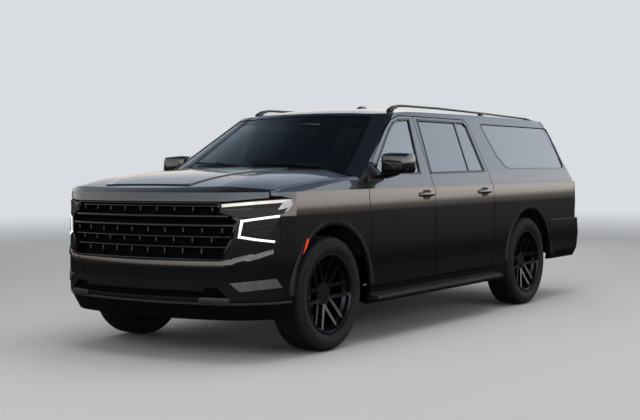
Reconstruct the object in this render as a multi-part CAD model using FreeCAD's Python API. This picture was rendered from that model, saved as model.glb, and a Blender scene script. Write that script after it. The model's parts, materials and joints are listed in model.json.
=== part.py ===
import FreeCAD, Part
import math
import os

V = FreeCAD.Vector

# A long three-row sport utility vehicle. Millimetres, +X forward, +Y to its left, +Z up,
# origin on the ground under the middle of the body.

# Main sizes
length = 5733.0
half_width = 1029.0
wheelbase = 3406.0
front_axle = 1893.5
rear_axle = front_axle - wheelbase
tyre_radius = 417.0
tyre_width = 275.0
wheel_y = 868.0
nose_x = length / 2
tail_x = -length / 2
roof_z = 1845.0
rail_top = 1880.0
crease_z = 1165.0
belt_z = 1272.0
header_z = 1752.0

# Walls and gaps
skin = 30.0
door_wall = 60.0
frame_wall = 45.0
gate_wall = 70.0
shut_gap = 8.0
glass_t = 6.0
glass_depth = 8.0
seat_gap = 0.3
lamp_gap = 3.0
arch_radius = 505.0

# Shut lines
fender_edge = 1415.0
rear_door_edge = -731.0
door_bottom = 430.0
hood_half = 935.0
hood_lip_z = 1105.0
gate_front = -2470.0
gate_half = 800.0
bumper_top = 790.0


def polygon(points, place):
    corners = [place(a, b) for a, b in points]
    return Part.Face(Part.makePolygon(corners + corners[:1]))


def prism_y(points, y0, y1):
    """Outline in X and Z, drawn out along Y."""
    return polygon(points, lambda a, b: V(a, y0, b)).extrude(V(0, y1 - y0, 0))


def prism_x(points, x0, x1):
    """Outline in Y and Z, drawn out along X."""
    return polygon(points, lambda a, b: V(x0, a, b)).extrude(V(x1 - x0, 0, 0))


def prism_z(points, z0, z1):
    """Outline in X and Y, drawn out along Z."""
    return polygon(points, lambda a, b: V(a, b, z0)).extrude(V(0, 0, z1 - z0))


def box(x0, x1, y0, y1, z0, z1):
    return Part.makeBox(x1 - x0, y1 - y0, z1 - z0, V(x0, y0, z0))


def cylinder(start, end, radius):
    run = end - start
    return Part.makeCylinder(radius, run.Length, start, run)


def fuse(shapes):
    if len(shapes) == 1:
        return shapes[0]
    return shapes[0].multiFuse(shapes[1:])


def mirrored(shape):
    return shape.mirror(V(0, 0, 0), V(0, 1, 0))


def both(shape):
    return Part.Compound([shape, mirrored(shape)])


def symmetric(points):
    """A half outline from the middle outwards, completed on the other side."""
    return points + [(-a, b) for a, b in reversed(points) if a != 0]


def arc(a, b, c):
    return Part.Arc(a, b, c).toShape()


# Plan of the body at one height. The nose and tail are arcs, and each corner is one more arc.
# End shapes: y and setback where the end arc stops, y and setback on the corner, setback at the side.
nose_plan = dict(end_y=600, end_back=66, mid_y=850, mid_back=180, side_back=470)
tail_plan = dict(end_y=850, end_back=30, mid_y=975, mid_back=75, side_back=220)
screen_plan = dict(end_y=700, end_back=90, mid_y=930, mid_back=165, side_back=270)
plan_half = 1029.0


def plan_wire(z, nose, tail, half, nose_shape, tail_shape):
    s = half / plan_half
    points = []
    for shape, x, way in ((nose_shape, nose, -1), (tail_shape, tail, 1)):
        points.append((
            V(x, 0, z),
            V(x + way * shape["end_back"], s * shape["end_y"], z),
            V(x + way * shape["mid_back"], s * shape["mid_y"], z),
            V(x + way * shape["side_back"], half, z),
        ))
    flip = lambda p: V(p.x, -p.y, p.z)
    n, t = points
    edges = [
        arc(flip(n[1]), n[0], n[1]),
        arc(n[1], n[2], n[3]),
        Part.makeLine(n[3], t[3]),
        arc(t[3], t[2], t[1]),
        arc(t[1], t[0], flip(t[1])),
        arc(flip(t[1]), flip(t[2]), flip(t[3])),
        Part.makeLine(flip(t[3]), flip(n[3])),
        arc(flip(n[3]), flip(n[2]), flip(n[1])),
    ]
    return Part.Wire(edges)


# Rows of the lofts: height, nose, tail, half width
lower_rows = (
    (290, 2790, -2700, 990),
    (430, nose_x, -2780, 1010),
    (650, 2856, -2795, 1024),
    (1000, 2838, -2795, half_width),
    (crease_z, 2826, -2785, 1024),
)
shoulder_rows = ((crease_z, 2826, -2785, 1012), (1379, 2754, -2680, 940))
cabin_rows = ((crease_z, 1872, -2780, 1012), (belt_z, 1698, -2735, 976))
glass_rows = ((belt_z, 1698, -2735, 976), (header_z, 918, -2530, 783))
top_rows = ((header_z, 918, -2530, 783), (1800, 840, -2500, 738), (1880, 710, -2450, 640))
bumper_rows = ((400, 2600, -2800, 1000), (480, 2600, -2850, 1022), (640, 2600, tail_x, 1033),
               (bumper_top, 2600, -2840, 1033))


def plan_loft(rows, inset, nose_shape, tail_shape, low=0.0, high=0.0):
    """Loft of plan outlines, every side moved in by inset; low and high stretch it past its ends."""
    rows = [list(r) for r in rows]
    rows[0][0] -= low
    rows[-1][0] += high
    wires = [plan_wire(z, n - inset, t + inset, h - inset, nose_shape, tail_shape) for z, n, t, h in rows]
    return Part.makeLoft(wires, True, True)


# Crown of the roof: x, height in the middle, height 700 to the side
crown_rows = ((1900, 1430, 1395), (1300, 1655, 1618), (700, 1806, 1768), (100, 1841, 1799), (-500, roof_z, 1802),
              (-1100, 1845, 1802), (-1700, 1840, 1798), (-2300, 1824, 1784), (-2900, 1796, 1758))
# Crown of the hood: x, height in the middle, drop at its shoulder and at its shut line
hood_rows = ((2980, 1143, 14, 80), (2700, 1228, 14, 88), (2420, 1278, 14, 92), (2140, 1305, 14, 90),
             (1860, 1325, 14, 84), (1580, 1335, 14, 80), (1300, 1338, 14, 80))
crown_half = 1080.0
crown_base = 900.0


def crown_body(drop):
    wires = []
    for x, mid, side in crown_rows:
        edge = mid - (mid - side) * (crown_half / 700) ** 2 - drop
        a, b, c = V(x, -crown_half, edge), V(x, 0, mid - drop), V(x, crown_half, edge)
        d, e = V(x, crown_half, crown_base), V(x, -crown_half, crown_base)
        wires.append(Part.Wire([arc(a, b, c), Part.makeLine(c, d), Part.makeLine(d, e), Part.makeLine(e, a)]))
    return Part.makeLoft(wires, True, False)


def hood_body(drop):
    wires = []
    for x, mid, shoulder, edge in hood_rows:
        top = mid - drop
        left = (V(x, 650, top - shoulder), V(x, 820, top - shoulder - 0.4 * (edge - shoulder)), V(x, 960, top - edge),
                V(x, crown_half, top - edge - 90), V(x, crown_half, crown_base))
        right = [V(p.x, -p.y, p.z) for p in left]
        wires.append(Part.Wire([
            arc(right[0], V(x, 0, top), left[0]),
            arc(left[0], left[1], left[2]),
            Part.makeLine(left[2], left[3]),
            Part.makeLine(left[3], left[4]),
            Part.makeLine(left[4], right[4]),
            Part.makeLine(right[4], right[3]),
            Part.makeLine(right[3], right[2]),
            arc(right[2], right[1], right[0]),
        ]))
    return Part.makeLoft(wires, True, False)


cache = {}


def volume(name, inset=0.0):
    """One of the body's outer volumes with every face moved in by inset."""
    key = (name, inset)
    if key in cache:
        return cache[key]
    reach = 40.0 if inset else 0.0
    if name == "lower":
        shape = plan_loft(lower_rows, inset, nose_plan, tail_plan, reach)
    elif name == "front":
        shape = plan_loft(shoulder_rows, inset, nose_plan, tail_plan, reach).common(hood_body(inset))
        shape = shape.common(box(1300, 3000, -1100, 1100, 0, 2000))
    elif name == "bumper":
        shape = plan_loft(bumper_rows, inset, nose_plan, tail_plan, reach, reach)
    else:
        shape = fuse([
            plan_loft(cabin_rows, inset, screen_plan, tail_plan, reach),
            plan_loft(glass_rows, inset, screen_plan, tail_plan),
            plan_loft(top_rows, inset, screen_plan, tail_plan),
        ]).common(crown_body(inset))
    cache[key] = shape
    return shape


def wall(name, region, thickness, depth=0.0):
    """The shell of a volume, between depth and depth + thickness below its face, within a region."""
    return volume(name, depth).common(region).cut(volume(name, depth + thickness))


def wheel_arch(x, radius, y0, y1):
    return Part.makeCylinder(radius, y1 - y0, V(x, y0, tyre_radius), V(0, 1, 0))


# Side outlines in X and Z. An outline grown by the gap makes the opening that it closes.
front_door_line = [(348, door_bottom), (1368, door_bottom), (1376, 662), (1392, 967), (1407, crease_z), (1407, 1215),
                   (1330, 1300), (835, 1640), (700, 1712), (560, 1746), (338, 1746), (380, belt_z), (380, crease_z)]
rear_door_line = [(-715, door_bottom), (340, door_bottom), (372, crease_z), (372, belt_z), (330, 1746),
                  (-600, 1742), (-652, 1700), (-712, belt_z), (-715, 1150), (rear_door_edge, 930), (rear_door_edge, 600)]
front_window = [(540, 1284), (1222, 1290), (1180, 1330), (800, 1612), (690, 1676), (590, 1706), (420, 1714)]
rear_window = [(-640, 1292), (340, 1284), (300, 1500), (262, 1714), (-560, 1710), (-600, 1680)]
rear_window_bar = [(-352, 1200), (-332, 1200), (-400, 1800), (-430, 1800)]
quarter_window = [(-1010, 1420), (-1120, 1322), (-1180, 1308), (-2440, 1304), (-2486, 1330), (-2440, 1660),
                  (-2395, 1700), (-2330, 1708), (-930, 1716), (-900, 1700)]
screen_line = symmetric([(0, 1292), (868, 1292), (842, 1370), (690, 1716), (660, 1740), (0, 1756)])
gate_line = symmetric([(0, bumper_top + 4), (gate_half, bumper_top + 4), (gate_half, crease_z), (790, belt_z),
                       (640, 1740), (640, 1900), (0, 1900)])
gate_window = symmetric([(0, 1290), (720, 1290), (700, 1330), (590, 1690), (560, 1716), (0, 1722)])
fender_back = [(1376, door_bottom), (1384, 662), (1400, 967), (fender_edge, crease_z)]
lamp_back = [(2400, 1120), (2395, 1076), (2450, 1030), (2495, 1005)]
fender_line = fender_back + [(fender_edge, 1400), (2470, 1400), (2470, 1134)] + lamp_back + [
    (2497, 832), (2180, 832), (2180, 600), (1560, 600), (1560, door_bottom)]
# Front outlines in Y and Z
grille_line = symmetric([(0, 1140), (668, 1140), (668, 1094), (660, 1032), (765, 998), (780, 960), (755, 850),
                         (690, 712), (0, 700)])
lamp_line = [(664, 1090), (1100, 1131), (1100, 822), (960, 822), (785, 858), (800, 985), (668, 1034)]
intake_line = symmetric([(0, 517), (655, 520), (735, 455), (0, 450)])


def grown(points, gap):
    """An outline moved outwards by a gap."""
    ring = Part.Wire(Part.makePolygon([V(a, b, 0) for a, b in points + points[:1]]))
    return [(v.X, v.Y) for v in ring.makeOffset2D(gap, 2).OrderedVertexes]


outer_y = 1100.0
parts = {}

# Doors. The outer skin is the whole outline, and the inner layer steps in all round.
step_in = 22.0
door_skin = 24.0


def door(outline, window):
    edge = prism_y(outline, 600, outer_y)
    inner_edge = prism_y(grown(outline, -step_in), 600, outer_y)
    low = wall("lower", edge, door_skin)
    low_inner = wall("lower", inner_edge, door_wall - door_skin, door_skin)
    high = wall("cabin", edge, door_skin)
    high_inner = wall("cabin", inner_edge, frame_wall - door_skin, door_skin)
    return fuse([low, low_inner, high, high_inner]).cut(prism_y(window, 600, outer_y))


def pane(outline):
    return wall("cabin", prism_y(outline, 600, outer_y), glass_t, glass_depth)


door_front = door(front_door_line, front_window)
door_rear = door(rear_door_line, rear_window)
bar = wall("cabin", prism_y(rear_window_bar, 600, outer_y), door_skin).common(prism_y(rear_window, 600, outer_y))
door_rear = door_rear.fuse(bar)
glass_front = pane(front_window)
glass_rear = pane(rear_window).cut(bar)

# Body side: quarter panel, pillars, sill and the rail over the doors
screen_cut = prism_x(screen_line, 600, 1900)
gate_cut = prism_x(grown(gate_line, shut_gap), -3000, gate_front + shut_gap)
arch_rear = wheel_arch(rear_axle, arch_radius, 690, outer_y)
arch_front = wheel_arch(front_axle, arch_radius, 500, outer_y)
side_low = wall("lower", box(-2900, fender_edge, 640, outer_y, 250, 1300), door_wall)
side_low = side_low.cut(prism_y([(1376, 200)] + fender_back + [(1500, crease_z), (1500, 200)], 600, outer_y))
side_high = wall("cabin", box(-2900, 1560, 640, outer_y, 1100, 1900), frame_wall)
side_high = side_high.cut(volume("front").common(box(fender_edge, 1700, 0, 1100, 1100, 1500)))
door_cut = fuse([prism_y(grown(front_door_line, shut_gap), 700, outer_y),
                 prism_y(grown(rear_door_line, shut_gap), 700, outer_y)])
lamp_box = box(-2900, -2640, 872, outer_y, 812, 1262)
side = side_low.fuse(side_high).cut(door_cut).cut(prism_y(quarter_window, 600, outer_y))
side = side.cut(screen_cut).cut(gate_cut).cut(arch_rear).cut(box(-2900, -1990, 600, outer_y, 200, bumper_top))
tail_lamp = fuse([wall("lower", lamp_box, door_skin), wall("cabin", lamp_box, door_skin)]).cut(gate_cut)
side = side.cut(tail_lamp)
# Sill behind the doors, with strips that the doors close against, and the post between the doors
sill = box(-990, 1370, 850, 940, 300, 590)
strips = fuse([box(-700, 270, 930, 1000, 470, 540), box(392, 1310, 930, 1000, 470, 540)])
strips = strips.common(volume("lower", door_wall + seat_gap))
post = prism_x([(932, 560), (941, 620), (944, crease_z), (911, belt_z), (728, 1746), (732, 1758), (712, 1785),
                (660, 1785), (680, 1746), (869, belt_z), (895, crease_z), (895, 560)], 306, 400)
sill = sill.cut(wheel_arch(rear_axle, arch_radius + 14, 800, outer_y))
# Stops that the closed liftgate rests on
gate_stop = fuse([box(-2800, -2640, 740, 1000, 900, 960).common(volume("lower", gate_wall + seat_gap)),
                  box(-2800, -2640, gate_half + shut_gap, 1000, 900, 960).common(volume("lower", door_wall - 10))])
side = fuse([side, sill, strips, post, gate_stop])
parts["body_side_left"] = side
parts["body_side_right"] = mirrored(side)
parts["tail_lamps"] = both(tail_lamp)
parts["quarter_glasses"] = both(pane(quarter_window))

# Roof, windshield and cowl
roof = wall("cabin", box(gate_front + shut_gap, 1100, -640, 640, 1690, 1900), frame_wall).cut(screen_cut)
parts["roof_panel"] = roof
parts["windshield"] = wall("cabin", screen_cut, glass_t, glass_depth)

# Liftgate with its spoiler
gate_region = prism_x(gate_line, -3000, gate_front)
gate = fuse([wall("lower", gate_region, gate_wall), wall("cabin", gate_region, gate_wall)])
gate = gate.cut(prism_x(gate_window, -3000, -2300))
spoiler = prism_y([(-2478, 1800), (-2478, 1770), (-2560, 1726), (-2690, 1742), (-2700, 1760)], -630, 630)
parts["liftgate"] = gate.fuse(spoiler.cut(volume("cabin", door_skin)))
parts["liftgate_glass"] = wall("cabin", prism_x(gate_window, -3000, -2300), glass_t, glass_depth)

# Hood, fenders, front bumper, lamps and grille
rail_front = 2640.0
rail_rear = -2700.0
beam_low = 495.0
beam_high = 575.0
hood_plan = [(3000, -hood_half), (3000, hood_half), (1560, hood_half), (1640, 500), (1665, 0), (1640, -500),
             (1560, -hood_half)]
hood_region = prism_z(hood_plan, hood_lip_z, 1500)
hood = fuse([wall("front", hood_region, door_skin),
             wall("lower", hood_region.common(box(2400, 3000, -1000, 1000, 1000, 1300)), door_skin)])
over_lamp = prism_x([(672, 1000), (672, 1102), (1100, 1142), (1100, 1000)], 2300, 3000)
parts["hood"] = hood.cut(fuse([over_lamp, mirrored(over_lamp)]))
fender_region = prism_y(fender_line, 860, outer_y)
fender = fuse([wall("lower", fender_region, skin), wall("front", fender_region, skin)])
fender = fender.cut(box(1200, 3000, 0, hood_half + 6, 1140, 1500)).cut(arch_front)
parts["fender_left"] = fender
parts["fender_right"] = mirrored(fender)
lamp_side = [(2400, 1150)] + lamp_back + [(2497, 822), (3000, 822), (3000, 1150)]
lamp_region = prism_x(lamp_line, 2300, 3000).common(prism_y(lamp_side, 600, outer_y))
beside_lamp = fuse([prism_x(grown(grille_line, lamp_gap), 2300, 3000),
                    prism_y(grown(fender_line, lamp_gap), 600, outer_y)])
headlamp = wall("lower", lamp_region.cut(beside_lamp), 40)
parts["headlamps"] = both(headlamp)
bumper = wall("lower", box(2180, 3000, -outer_y, outer_y, 290, hood_lip_z - 6), skin)
half_cuts = fuse([arch_front, prism_y(fender_line, 400, outer_y), lamp_region])
bumper = bumper.cut(half_cuts).cut(mirrored(half_cuts))
beam = box(2720, 2900, -560, 560, beam_low, beam_high).common(volume("lower", 10))
horn = box(rail_front + seat_gap, 2730, 360, 440, beam_low, beam_high)
bumper = bumper.cut(prism_x(grille_line, 2400, 3000)).cut(prism_x(intake_line, 2400, 3000))
bumper = max(bumper.Solids, key=lambda s: s.Volume)
parts["front_bumper"] = fuse([bumper, beam, horn, mirrored(horn)])

# Grille: two wide bars across a lattice, and a rim all round
grille_bars = [(z, h) for z, h in ((1086, 20), (1048, 10), (996, 26), (938, 26), (892, 10), (852, 10), (812, 10),
                                   (772, 10), (732, 10))]
lattice = [box(2400, 3000, -800, 800, z - h / 2, z + h / 2) for z, h in grille_bars]
lattice += [box(2400, 3000, y - 6, y + 6, 690, 1096) for y in range(-720, 721, 120)]
ring = prism_x(grille_line, 2400, 3000).cut(prism_x(grown(grille_line, -18), 2300, 3100))
grille_region = prism_x(grille_line, 2400, 3000).common(box(2400, 3000, -900, 900, 600, 1097))
grille = fuse(lattice + [ring]).common(grille_region)
parts["grille"] = wall("lower", grille, 40, 6)

# Rear bumper, with two arms to the frame
rear_region = box(-2900, -1990, -outer_y, outer_y, 400, bumper_top)
bumper_arm = box(-2820, rail_rear - seat_gap, 360, 440, beam_low, beam_high)
rear_cuts = fuse([arch_rear, mirrored(arch_rear)])
parts["rear_bumper"] = fuse([wall("bumper", rear_region, 50).cut(rear_cuts), bumper_arm, mirrored(bumper_arm)])

# Frame: rails, cross members, body mounts, engine towers, gearbox cross member, spare wheel hanger and hitch
floor_z = 600.0
rail_low = 480.0
rail_high = 590.0
shaft_z = 450.0
rail = box(rail_rear, rail_front, 360, 440, rail_low, rail_high)
cross = [box(x, x + 80, -365, 365, 500, rail_high) for x in (2540, 500, -500, -1080, -1960, -2300, -2660)]
frame_mounts = [cylinder(V(x, y, 585), V(x, y, floor_z), 45) for x in (1250, 200, -900, -2100, -2600) for y in (-400, 400)]
tower = box(1950, 2030, 290, 362, 520, 640 - seat_gap)
gearbox_beam = fuse([box(1200, 1280, -380, 380, 270, 310), box(1200, 1280, 365, 400, 270, rail_low + 5),
                     box(1200, 1280, -400, -365, 270, rail_low + 5)])
spare_z = 345.0
hanger = cylinder(V(-2260, 0, spare_z + 60 + seat_gap), V(-2260, 0, 505), 30)
hitch_z = 350.0
hitch_drop = fuse([box(-2690, -2640, 370, 430, hitch_z - 30, rail_low + 5), box(-2690, -2640, -430, -370, hitch_z - 30, rail_low + 5),
                   box(-2690, -2640, -430, 430, hitch_z - 30, hitch_z + 30)])
hitch = box(-2840, -2640, -38, 38, hitch_z - 38, hitch_z + 38).cut(box(-2900, -2660, -25.5, 25.5, hitch_z - 25.5, hitch_z + 25.5))
parts["chassis_frame"] = fuse([rail, mirrored(rail)] + cross + frame_mounts + [tower, mirrored(tower), gearbox_beam, hanger,
                                                                              hitch_drop.cut(box(-2900, -2660, -25.5, 25.5, hitch_z - 25.5, hitch_z + 25.5)), hitch])

# Floor, firewall, wheelhouses and seat bases
base_top = 760.0
bench_top = 740.0
cowl_base = 1260.0
floor = box(-2690, 1340, -850, 850, floor_z, 624)
firewall = box(1340, 1364, -850, 850, floor_z, cowl_base)
shelf = box(1340, 1720, -850, 850, cowl_base - 20, cowl_base).common(volume("front", skin))
arch_hole = wheel_arch(rear_axle, arch_radius + 14, 700, 1000)
liners = []
for x, y0, low, depth in ((front_axle, 548, 660, skin), (rear_axle, 690, floor_z, door_wall)):
    ring_shell = wheel_arch(x, arch_radius + 14, y0, 1000).cut(wheel_arch(x, arch_radius + 2, y0 + 12, 1000))
    liners.append(ring_shell.common(box(-3000, 3000, 0, 1000, low, 1000)).common(volume("lower", depth)))
front_house, rear_house = liners
bases = [box(x, x + 380, y - 190, y + 190, 620, base_top) for x in (230, -760) for y in (-410, 410)]
bases.append(box(-1860, -1400, -560, 560, 620, bench_top))
floor = floor.cut(fuse([arch_hole, mirrored(arch_hole)]))
parts["underbody"] = fuse([floor, firewall, shelf, rear_house, mirrored(rear_house)] + bases)
parts["front_wheelhouses"] = both(front_house)

# Cowl between the hood and the windshield
cowl = wall("front", box(1340, 1720, -930, 930, 1100, 1500), 20, 32)
cowl = cowl.fuse(box(1690, 1720, -850, 850, cowl_base, 1400).common(volume("front", 40)))
cowl = cowl.cut(fuse([volume("cabin", glass_depth), shelf, parts["body_side_left"], parts["body_side_right"]]))
parts["cowl_panel"] = cowl

# Engine, gearbox, drive shaft and radiator: heavy pieces as plain blocks
engine = box(1640, 2330, -260, 260, 420, 1080)
lugs = box(1960, 2020, -345, 345, 640, 680)
gearbox = Part.makeCone(140, 100, 700, V(1640, 0, shaft_z), V(-1, 0, 0))
gearbox_pad = box(1210, 1270, -40, 40, 310 + seat_gap, 360)
drive_shaft = cylinder(V(945, 0, shaft_z), V(rear_axle + 158 + seat_gap, 0, shaft_z), 38)
parts["powertrain"] = fuse([engine, lugs, gearbox, gearbox_pad, drive_shaft])
core = box(2560, 2620, -560, 560, rail_high + seat_gap, 1050)
support = box(2560, 2620, -700, 700, 1040, 1080)
rests = fuse([cylinder(V(2590, y, 1070), V(2590, y, 1300), 14) for y in (-600, 600)])
rest_bases = [cylinder(V(2590, y, 1070), V(2590, y, 1140), 14) for y in (-600, 600)]
parts["radiator"] = fuse([core, support, rests.common(volume("front", door_skin + seat_gap))] + rest_bases)

# Wheels, in their own frame with the outer face towards +Y
rim_r = 279.5
flange_r = 296.5
tyre_profile = [(-112.7, 279.8), (-112.7, 298), (-128, 312), (-137.5, 348), (-133, 382), (-118, 406), (-96, tyre_radius - 1),
                (0, tyre_radius), (96, tyre_radius - 1), (118, 406), (133, 382), (137.5, 348), (128, 312), (112.7, 298),
                (112.7, 279.8), (98, 279.8), (98, 296), (118, 345), (100, 398), (-100, 398), (-118, 345), (-98, 296),
                (-98, 279.8)]
rim_profile = [(-121, flange_r), (-113, flange_r), (-113, rim_r), (-80, rim_r), (-60, 262), (60, 262), (80, rim_r),
               (113, rim_r), (113, flange_r), (121, flange_r), (121, 280), (110, 270), (80, 270), (58, 253), (-58, 253),
               (-80, 270), (-121, 270)]
spoke_profile = [(58, 0), (58, 80), (96, 262), (112, 272), (92, 272), (70, 240), (22, 80), (22, 0)]


def turned(profile):
    """A ring from points of width and radius, turned about the wheel's axle."""
    return polygon(profile, lambda a, b: V(b, a, 0)).revolve(V(0, 0, 0), V(0, 1, 0), 360)


tyre = turned(tyre_profile)
barrel = turned(rim_profile)
disc = turned(spoke_profile)
spoke_pairs = 6
star = [cylinder(V(0, 0, 0), V(0, 150, 0), 82)]
for k in range(spoke_pairs):
    for lean in (-1, 1):
        spoke = prism_y([(-14 + lean * 40, 20), (14 + lean * 40, 20), (12 + lean * 46, 276), (-12 + lean * 46, 276)], 0, 150)
        spoke.rotate(V(0, 0, 0), V(0, 1, 0), 34 + k * 360 / spoke_pairs)
        star.append(spoke)
face = disc.common(fuse(star))
hub = fuse([cylinder(V(0, -8, 0), V(0, 30, 0), 78), cylinder(V(0, -8, 0), V(0, 4, 0), 170)])
rim = fuse([barrel, face, hub])

# Front knuckle, with the caliper; the steering axis stands at kingpin_y
kingpin_y = 808.0
kp = kingpin_y - wheel_y
carrier = fuse([
    cylinder(V(0, -80, 0), V(0, -8.5, 0), 58),
    box(-28, 28, kp - 26, kp + 30, -118, 178),
    box(60, 120, -60, -16, -45, 45),
    box(40, 70, -60, -16, -40, 40),
])
caliper = fuse([box(118, 196, -60, -14, -60, 60), box(178, 196, -20, 20, -60, 60), box(118, 196, 10, 26, -60, 60)])
knuckle = fuse([carrier, caliper])
wheels = {"front": front_axle, "rear": rear_axle}
for hand, turn in (("left", lambda s: s), ("right", mirrored)):
    for end, x in wheels.items():
        place = V(x, wheel_y, tyre_radius)
        parts["tyre_" + end + "_" + hand] = turn(tyre.translated(place))
        parts["rim_" + end + "_" + hand] = turn(rim.translated(place))
    parts["knuckle_front_" + hand] = turn(knuckle.translated(V(front_axle, wheel_y, tyre_radius)))

# Suspension arms, half shafts and rear hub carriers
upper_z = tyre_radius + 178 + seat_gap
lower_z = tyre_radius - 118 - seat_gap


def wishbone(x, z, t, reach):
    """A forked arm from the frame to the steering axis, t thick, with its underside at z."""
    arm = prism_z([(x - 26, kingpin_y), (x + 26, kingpin_y), (x + reach, 440), (x + reach - 50, 440),
                   (x, kingpin_y - 130), (x - reach + 50, 440), (x - reach, 440)], z, z + t)
    return arm.fuse(cylinder(V(x, kingpin_y, z), V(x, kingpin_y, z + t), 26))


def around(x, reach, y0, y1, z0, z1):
    return box(x - reach, x + reach, y0, y1, z0, z1)


half_front = fuse([
    wishbone(front_axle, upper_z, 26, 150),
    around(front_axle, 160, 400, 442, rail_high + seat_gap, upper_z + 26),
    around(front_axle, 45, 420, 510, upper_z, upper_z + 60),
    wishbone(front_axle, lower_z - 34, 34, 190),
    around(front_axle, 110, 535, 590, lower_z - 34, lower_z),
    around(front_axle, 200, 380, 442, lower_z - 40, rail_low - seat_gap),
    cylinder(V(front_axle, 560, lower_z - 10), V(front_axle, 470, 640), 34),
])
parts["front_suspension"] = fuse([half_front, mirrored(half_front), around(front_axle, 60, -382, 382, 300, 400)])
half_rear = fuse([
    cylinder(V(rear_axle, 770, tyre_radius), V(rear_axle, wheel_y - 8.5, tyre_radius), 58),
    around(rear_axle, 40, 764, 800, 290, 545),
    around(rear_axle + 90, 30, wheel_y - 60, wheel_y - 16, 380, 460),
    around(rear_axle + 55, 15, wheel_y - 60, wheel_y - 16, 380, 450),
    caliper.translated(V(rear_axle, wheel_y, tyre_radius)),
    cylinder(V(rear_axle, 0, tyre_radius), V(rear_axle, 780, tyre_radius), 22),
    around(rear_axle, 130, 200, 766, 286, 320),
    around(rear_axle, 30, 440 + seat_gap, 766, 482, 510),
    cylinder(V(rear_axle - 80, 620, 318), V(rear_axle - 80, 620, floor_z - seat_gap), 60),
])
diff = fuse([cylinder(V(rear_axle, -90, tyre_radius), V(rear_axle, 90, tyre_radius), 120),
             cylinder(V(rear_axle, 0, shaft_z), V(rear_axle + 158, 0, shaft_z), 60),
             around(rear_axle, 60, -220, 220, 280, 330)])
parts["rear_suspension"] = fuse([half_rear, mirrored(half_rear), diff])

# Fuel tank, exhaust and spare wheel under the floor
parts["fuel_tank"] = box(-950, 350, 450, 760, 380, floor_z - seat_gap)
pipe_points = [V(1300, -500, 430), V(-300, -600, 430), V(-900, -600, 430), V(-1150, -515, 566), V(-1900, -515, 566),
               V(-2150, -600, 360), V(-2740, -640, 340)]
pipe = [cylinder(a, b, 28) for a, b in zip(pipe_points, pipe_points[1:])] + [Part.makeSphere(28, p) for p in pipe_points[1:-1]]
muffler = cylinder(V(-900, -600, 430), V(-300, -600, 430), 110)
exhaust_hangers = [box(-700, -660, -610, -590, 500, floor_z - seat_gap), box(-2460, -2430, -630, -618, 360, floor_z - seat_gap)]
parts["exhaust"] = fuse([muffler] + pipe + exhaust_hangers)
spare = turned([(-110, 281), (-125, 330), (-110, 372), (110, 372), (125, 330), (110, 281), (60, 270), (60, 0), (40, 0), (40, 240),
                (-60, 270), (-110, 276)])
spare.rotate(V(0, 0, 0), V(1, 0, 0), 90)
parts["spare_wheel"] = spare.translated(V(-2260, 0, spare_z))

# Steps, roof rails
step = prism_x([(900, 318), (1046, 318), (1050, 330), (1046, 350), (900, 350)], -850, 1330)
parts["running_boards"] = both(step.cut(volume("lower")))
rail_top_line = prism_y([(540, 1790), (460, 1850), (400, rail_top), (-2180, rail_top), (-2290, 1850), (-2380, 1770)], 660, 700)
rail_under = prism_y([(430, 1700), (430, 1846), (380, 1856), (-2160, 1856), (-2240, 1834), (-2240, 1700)], 640, 720)
rail_feet = fuse([box(x, x + 60, 660, 700, 1760, 1850) for x in (-500, -1400)])
roof_rail = rail_top_line.cut(rail_under).fuse(rail_feet).cut(volume("cabin"))
parts["roof_rails"] = both(max(roof_rail.Solids, key=lambda s: s.Volume))

# Dashboard, steering wheel and seats
dash_front = 1340 - seat_gap
dash = prism_y([(dash_front, 700), (dash_front, 1200), (1180, 1215), (960, 1180), (900, 1120), (920, 1000), (1050, 900),
                (1080, 700)], -800, 800)
parts["dashboard"] = dash
column = cylinder(V(760, 400, 1055), V(1100, 400, 950), 32)
ring = Part.makeTorus(182, 15, V(0, 0, 0), V(0, 0, 1))
spokes = fuse([box(-176, 176, -14, 14, -8, 8), box(-14, 14, -176, 0, -8, 8), cylinder(V(0, 0, -20), V(0, 0, 16), 62)])
wheel = fuse([ring, spokes])
wheel.rotate(V(0, 0, 0), V(0, 0, 1), 90)
wheel.rotate(V(0, 0, 0), V(0, 1, 0), -72)
parts["steering_wheel"] = fuse([wheel.translated(V(760, 400, 1055)), column.cut(dash)])


def seat_side(x, w, y, base):
    cushion = prism_y([(x, base), (x + 480, base), (x + 540, base + 50), (x + 540, base + 110), (x + 480, base + 135), (x - 20, base + 90)],
                      y - w, y + w)
    back = prism_y([(x - 60, base + 60), (x + 60, base + 80), (x - 90, base + 700), (x - 190, base + 700)], y - w, y + w)
    rest = prism_y([(x - 110, base + 660), (x - 90, base + 720), (x - 110, base + 880), (x - 200, base + 880), (x - 190, base + 720),
                    (x - 160, base + 660)], y - 130, y + 130)
    return fuse([cushion, back, rest])


parts["front_seats"] = both(seat_side(150, 250, 410, base_top + seat_gap))
parts["middle_seats"] = both(seat_side(-840, 250, 410, base_top + seat_gap))
parts["rear_seats"] = seat_side(-1900, 600, 0, bench_top + seat_gap)

# Doors on both sides, with the mirrors
mirror_head = box(1010, 1280, 1095, 1255, 1268, 1432)
mirror_arm = box(1250, 1330, 960, 1110, 1216, 1275)
mirror = mirror_head.fuse(mirror_arm).cut(volume("cabin")).cut(volume("lower"))
for hand, turn in (("left", lambda s: s), ("right", mirrored)):
    parts["door_front_" + hand] = turn(door_front)
    parts["door_rear_" + hand] = turn(door_rear)
    parts["glass_front_" + hand] = turn(glass_front)
    parts["glass_rear_" + hand] = turn(glass_rear)
    parts["mirror_" + hand] = turn(mirror)

os.makedirs("parts", exist_ok=True)
for name, shape in parts.items():
    solids = shape.Solids
    body = solids[0] if len(solids) == 1 else Part.Compound(solids)
    body.exportStep("parts/" + name + ".step")
    print(name, len(solids), "solids", round(sum(s.Volume for s in solids) / 1e6, 2), "litres",
          "valid" if body.isValid() else "NOT VALID")
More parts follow.
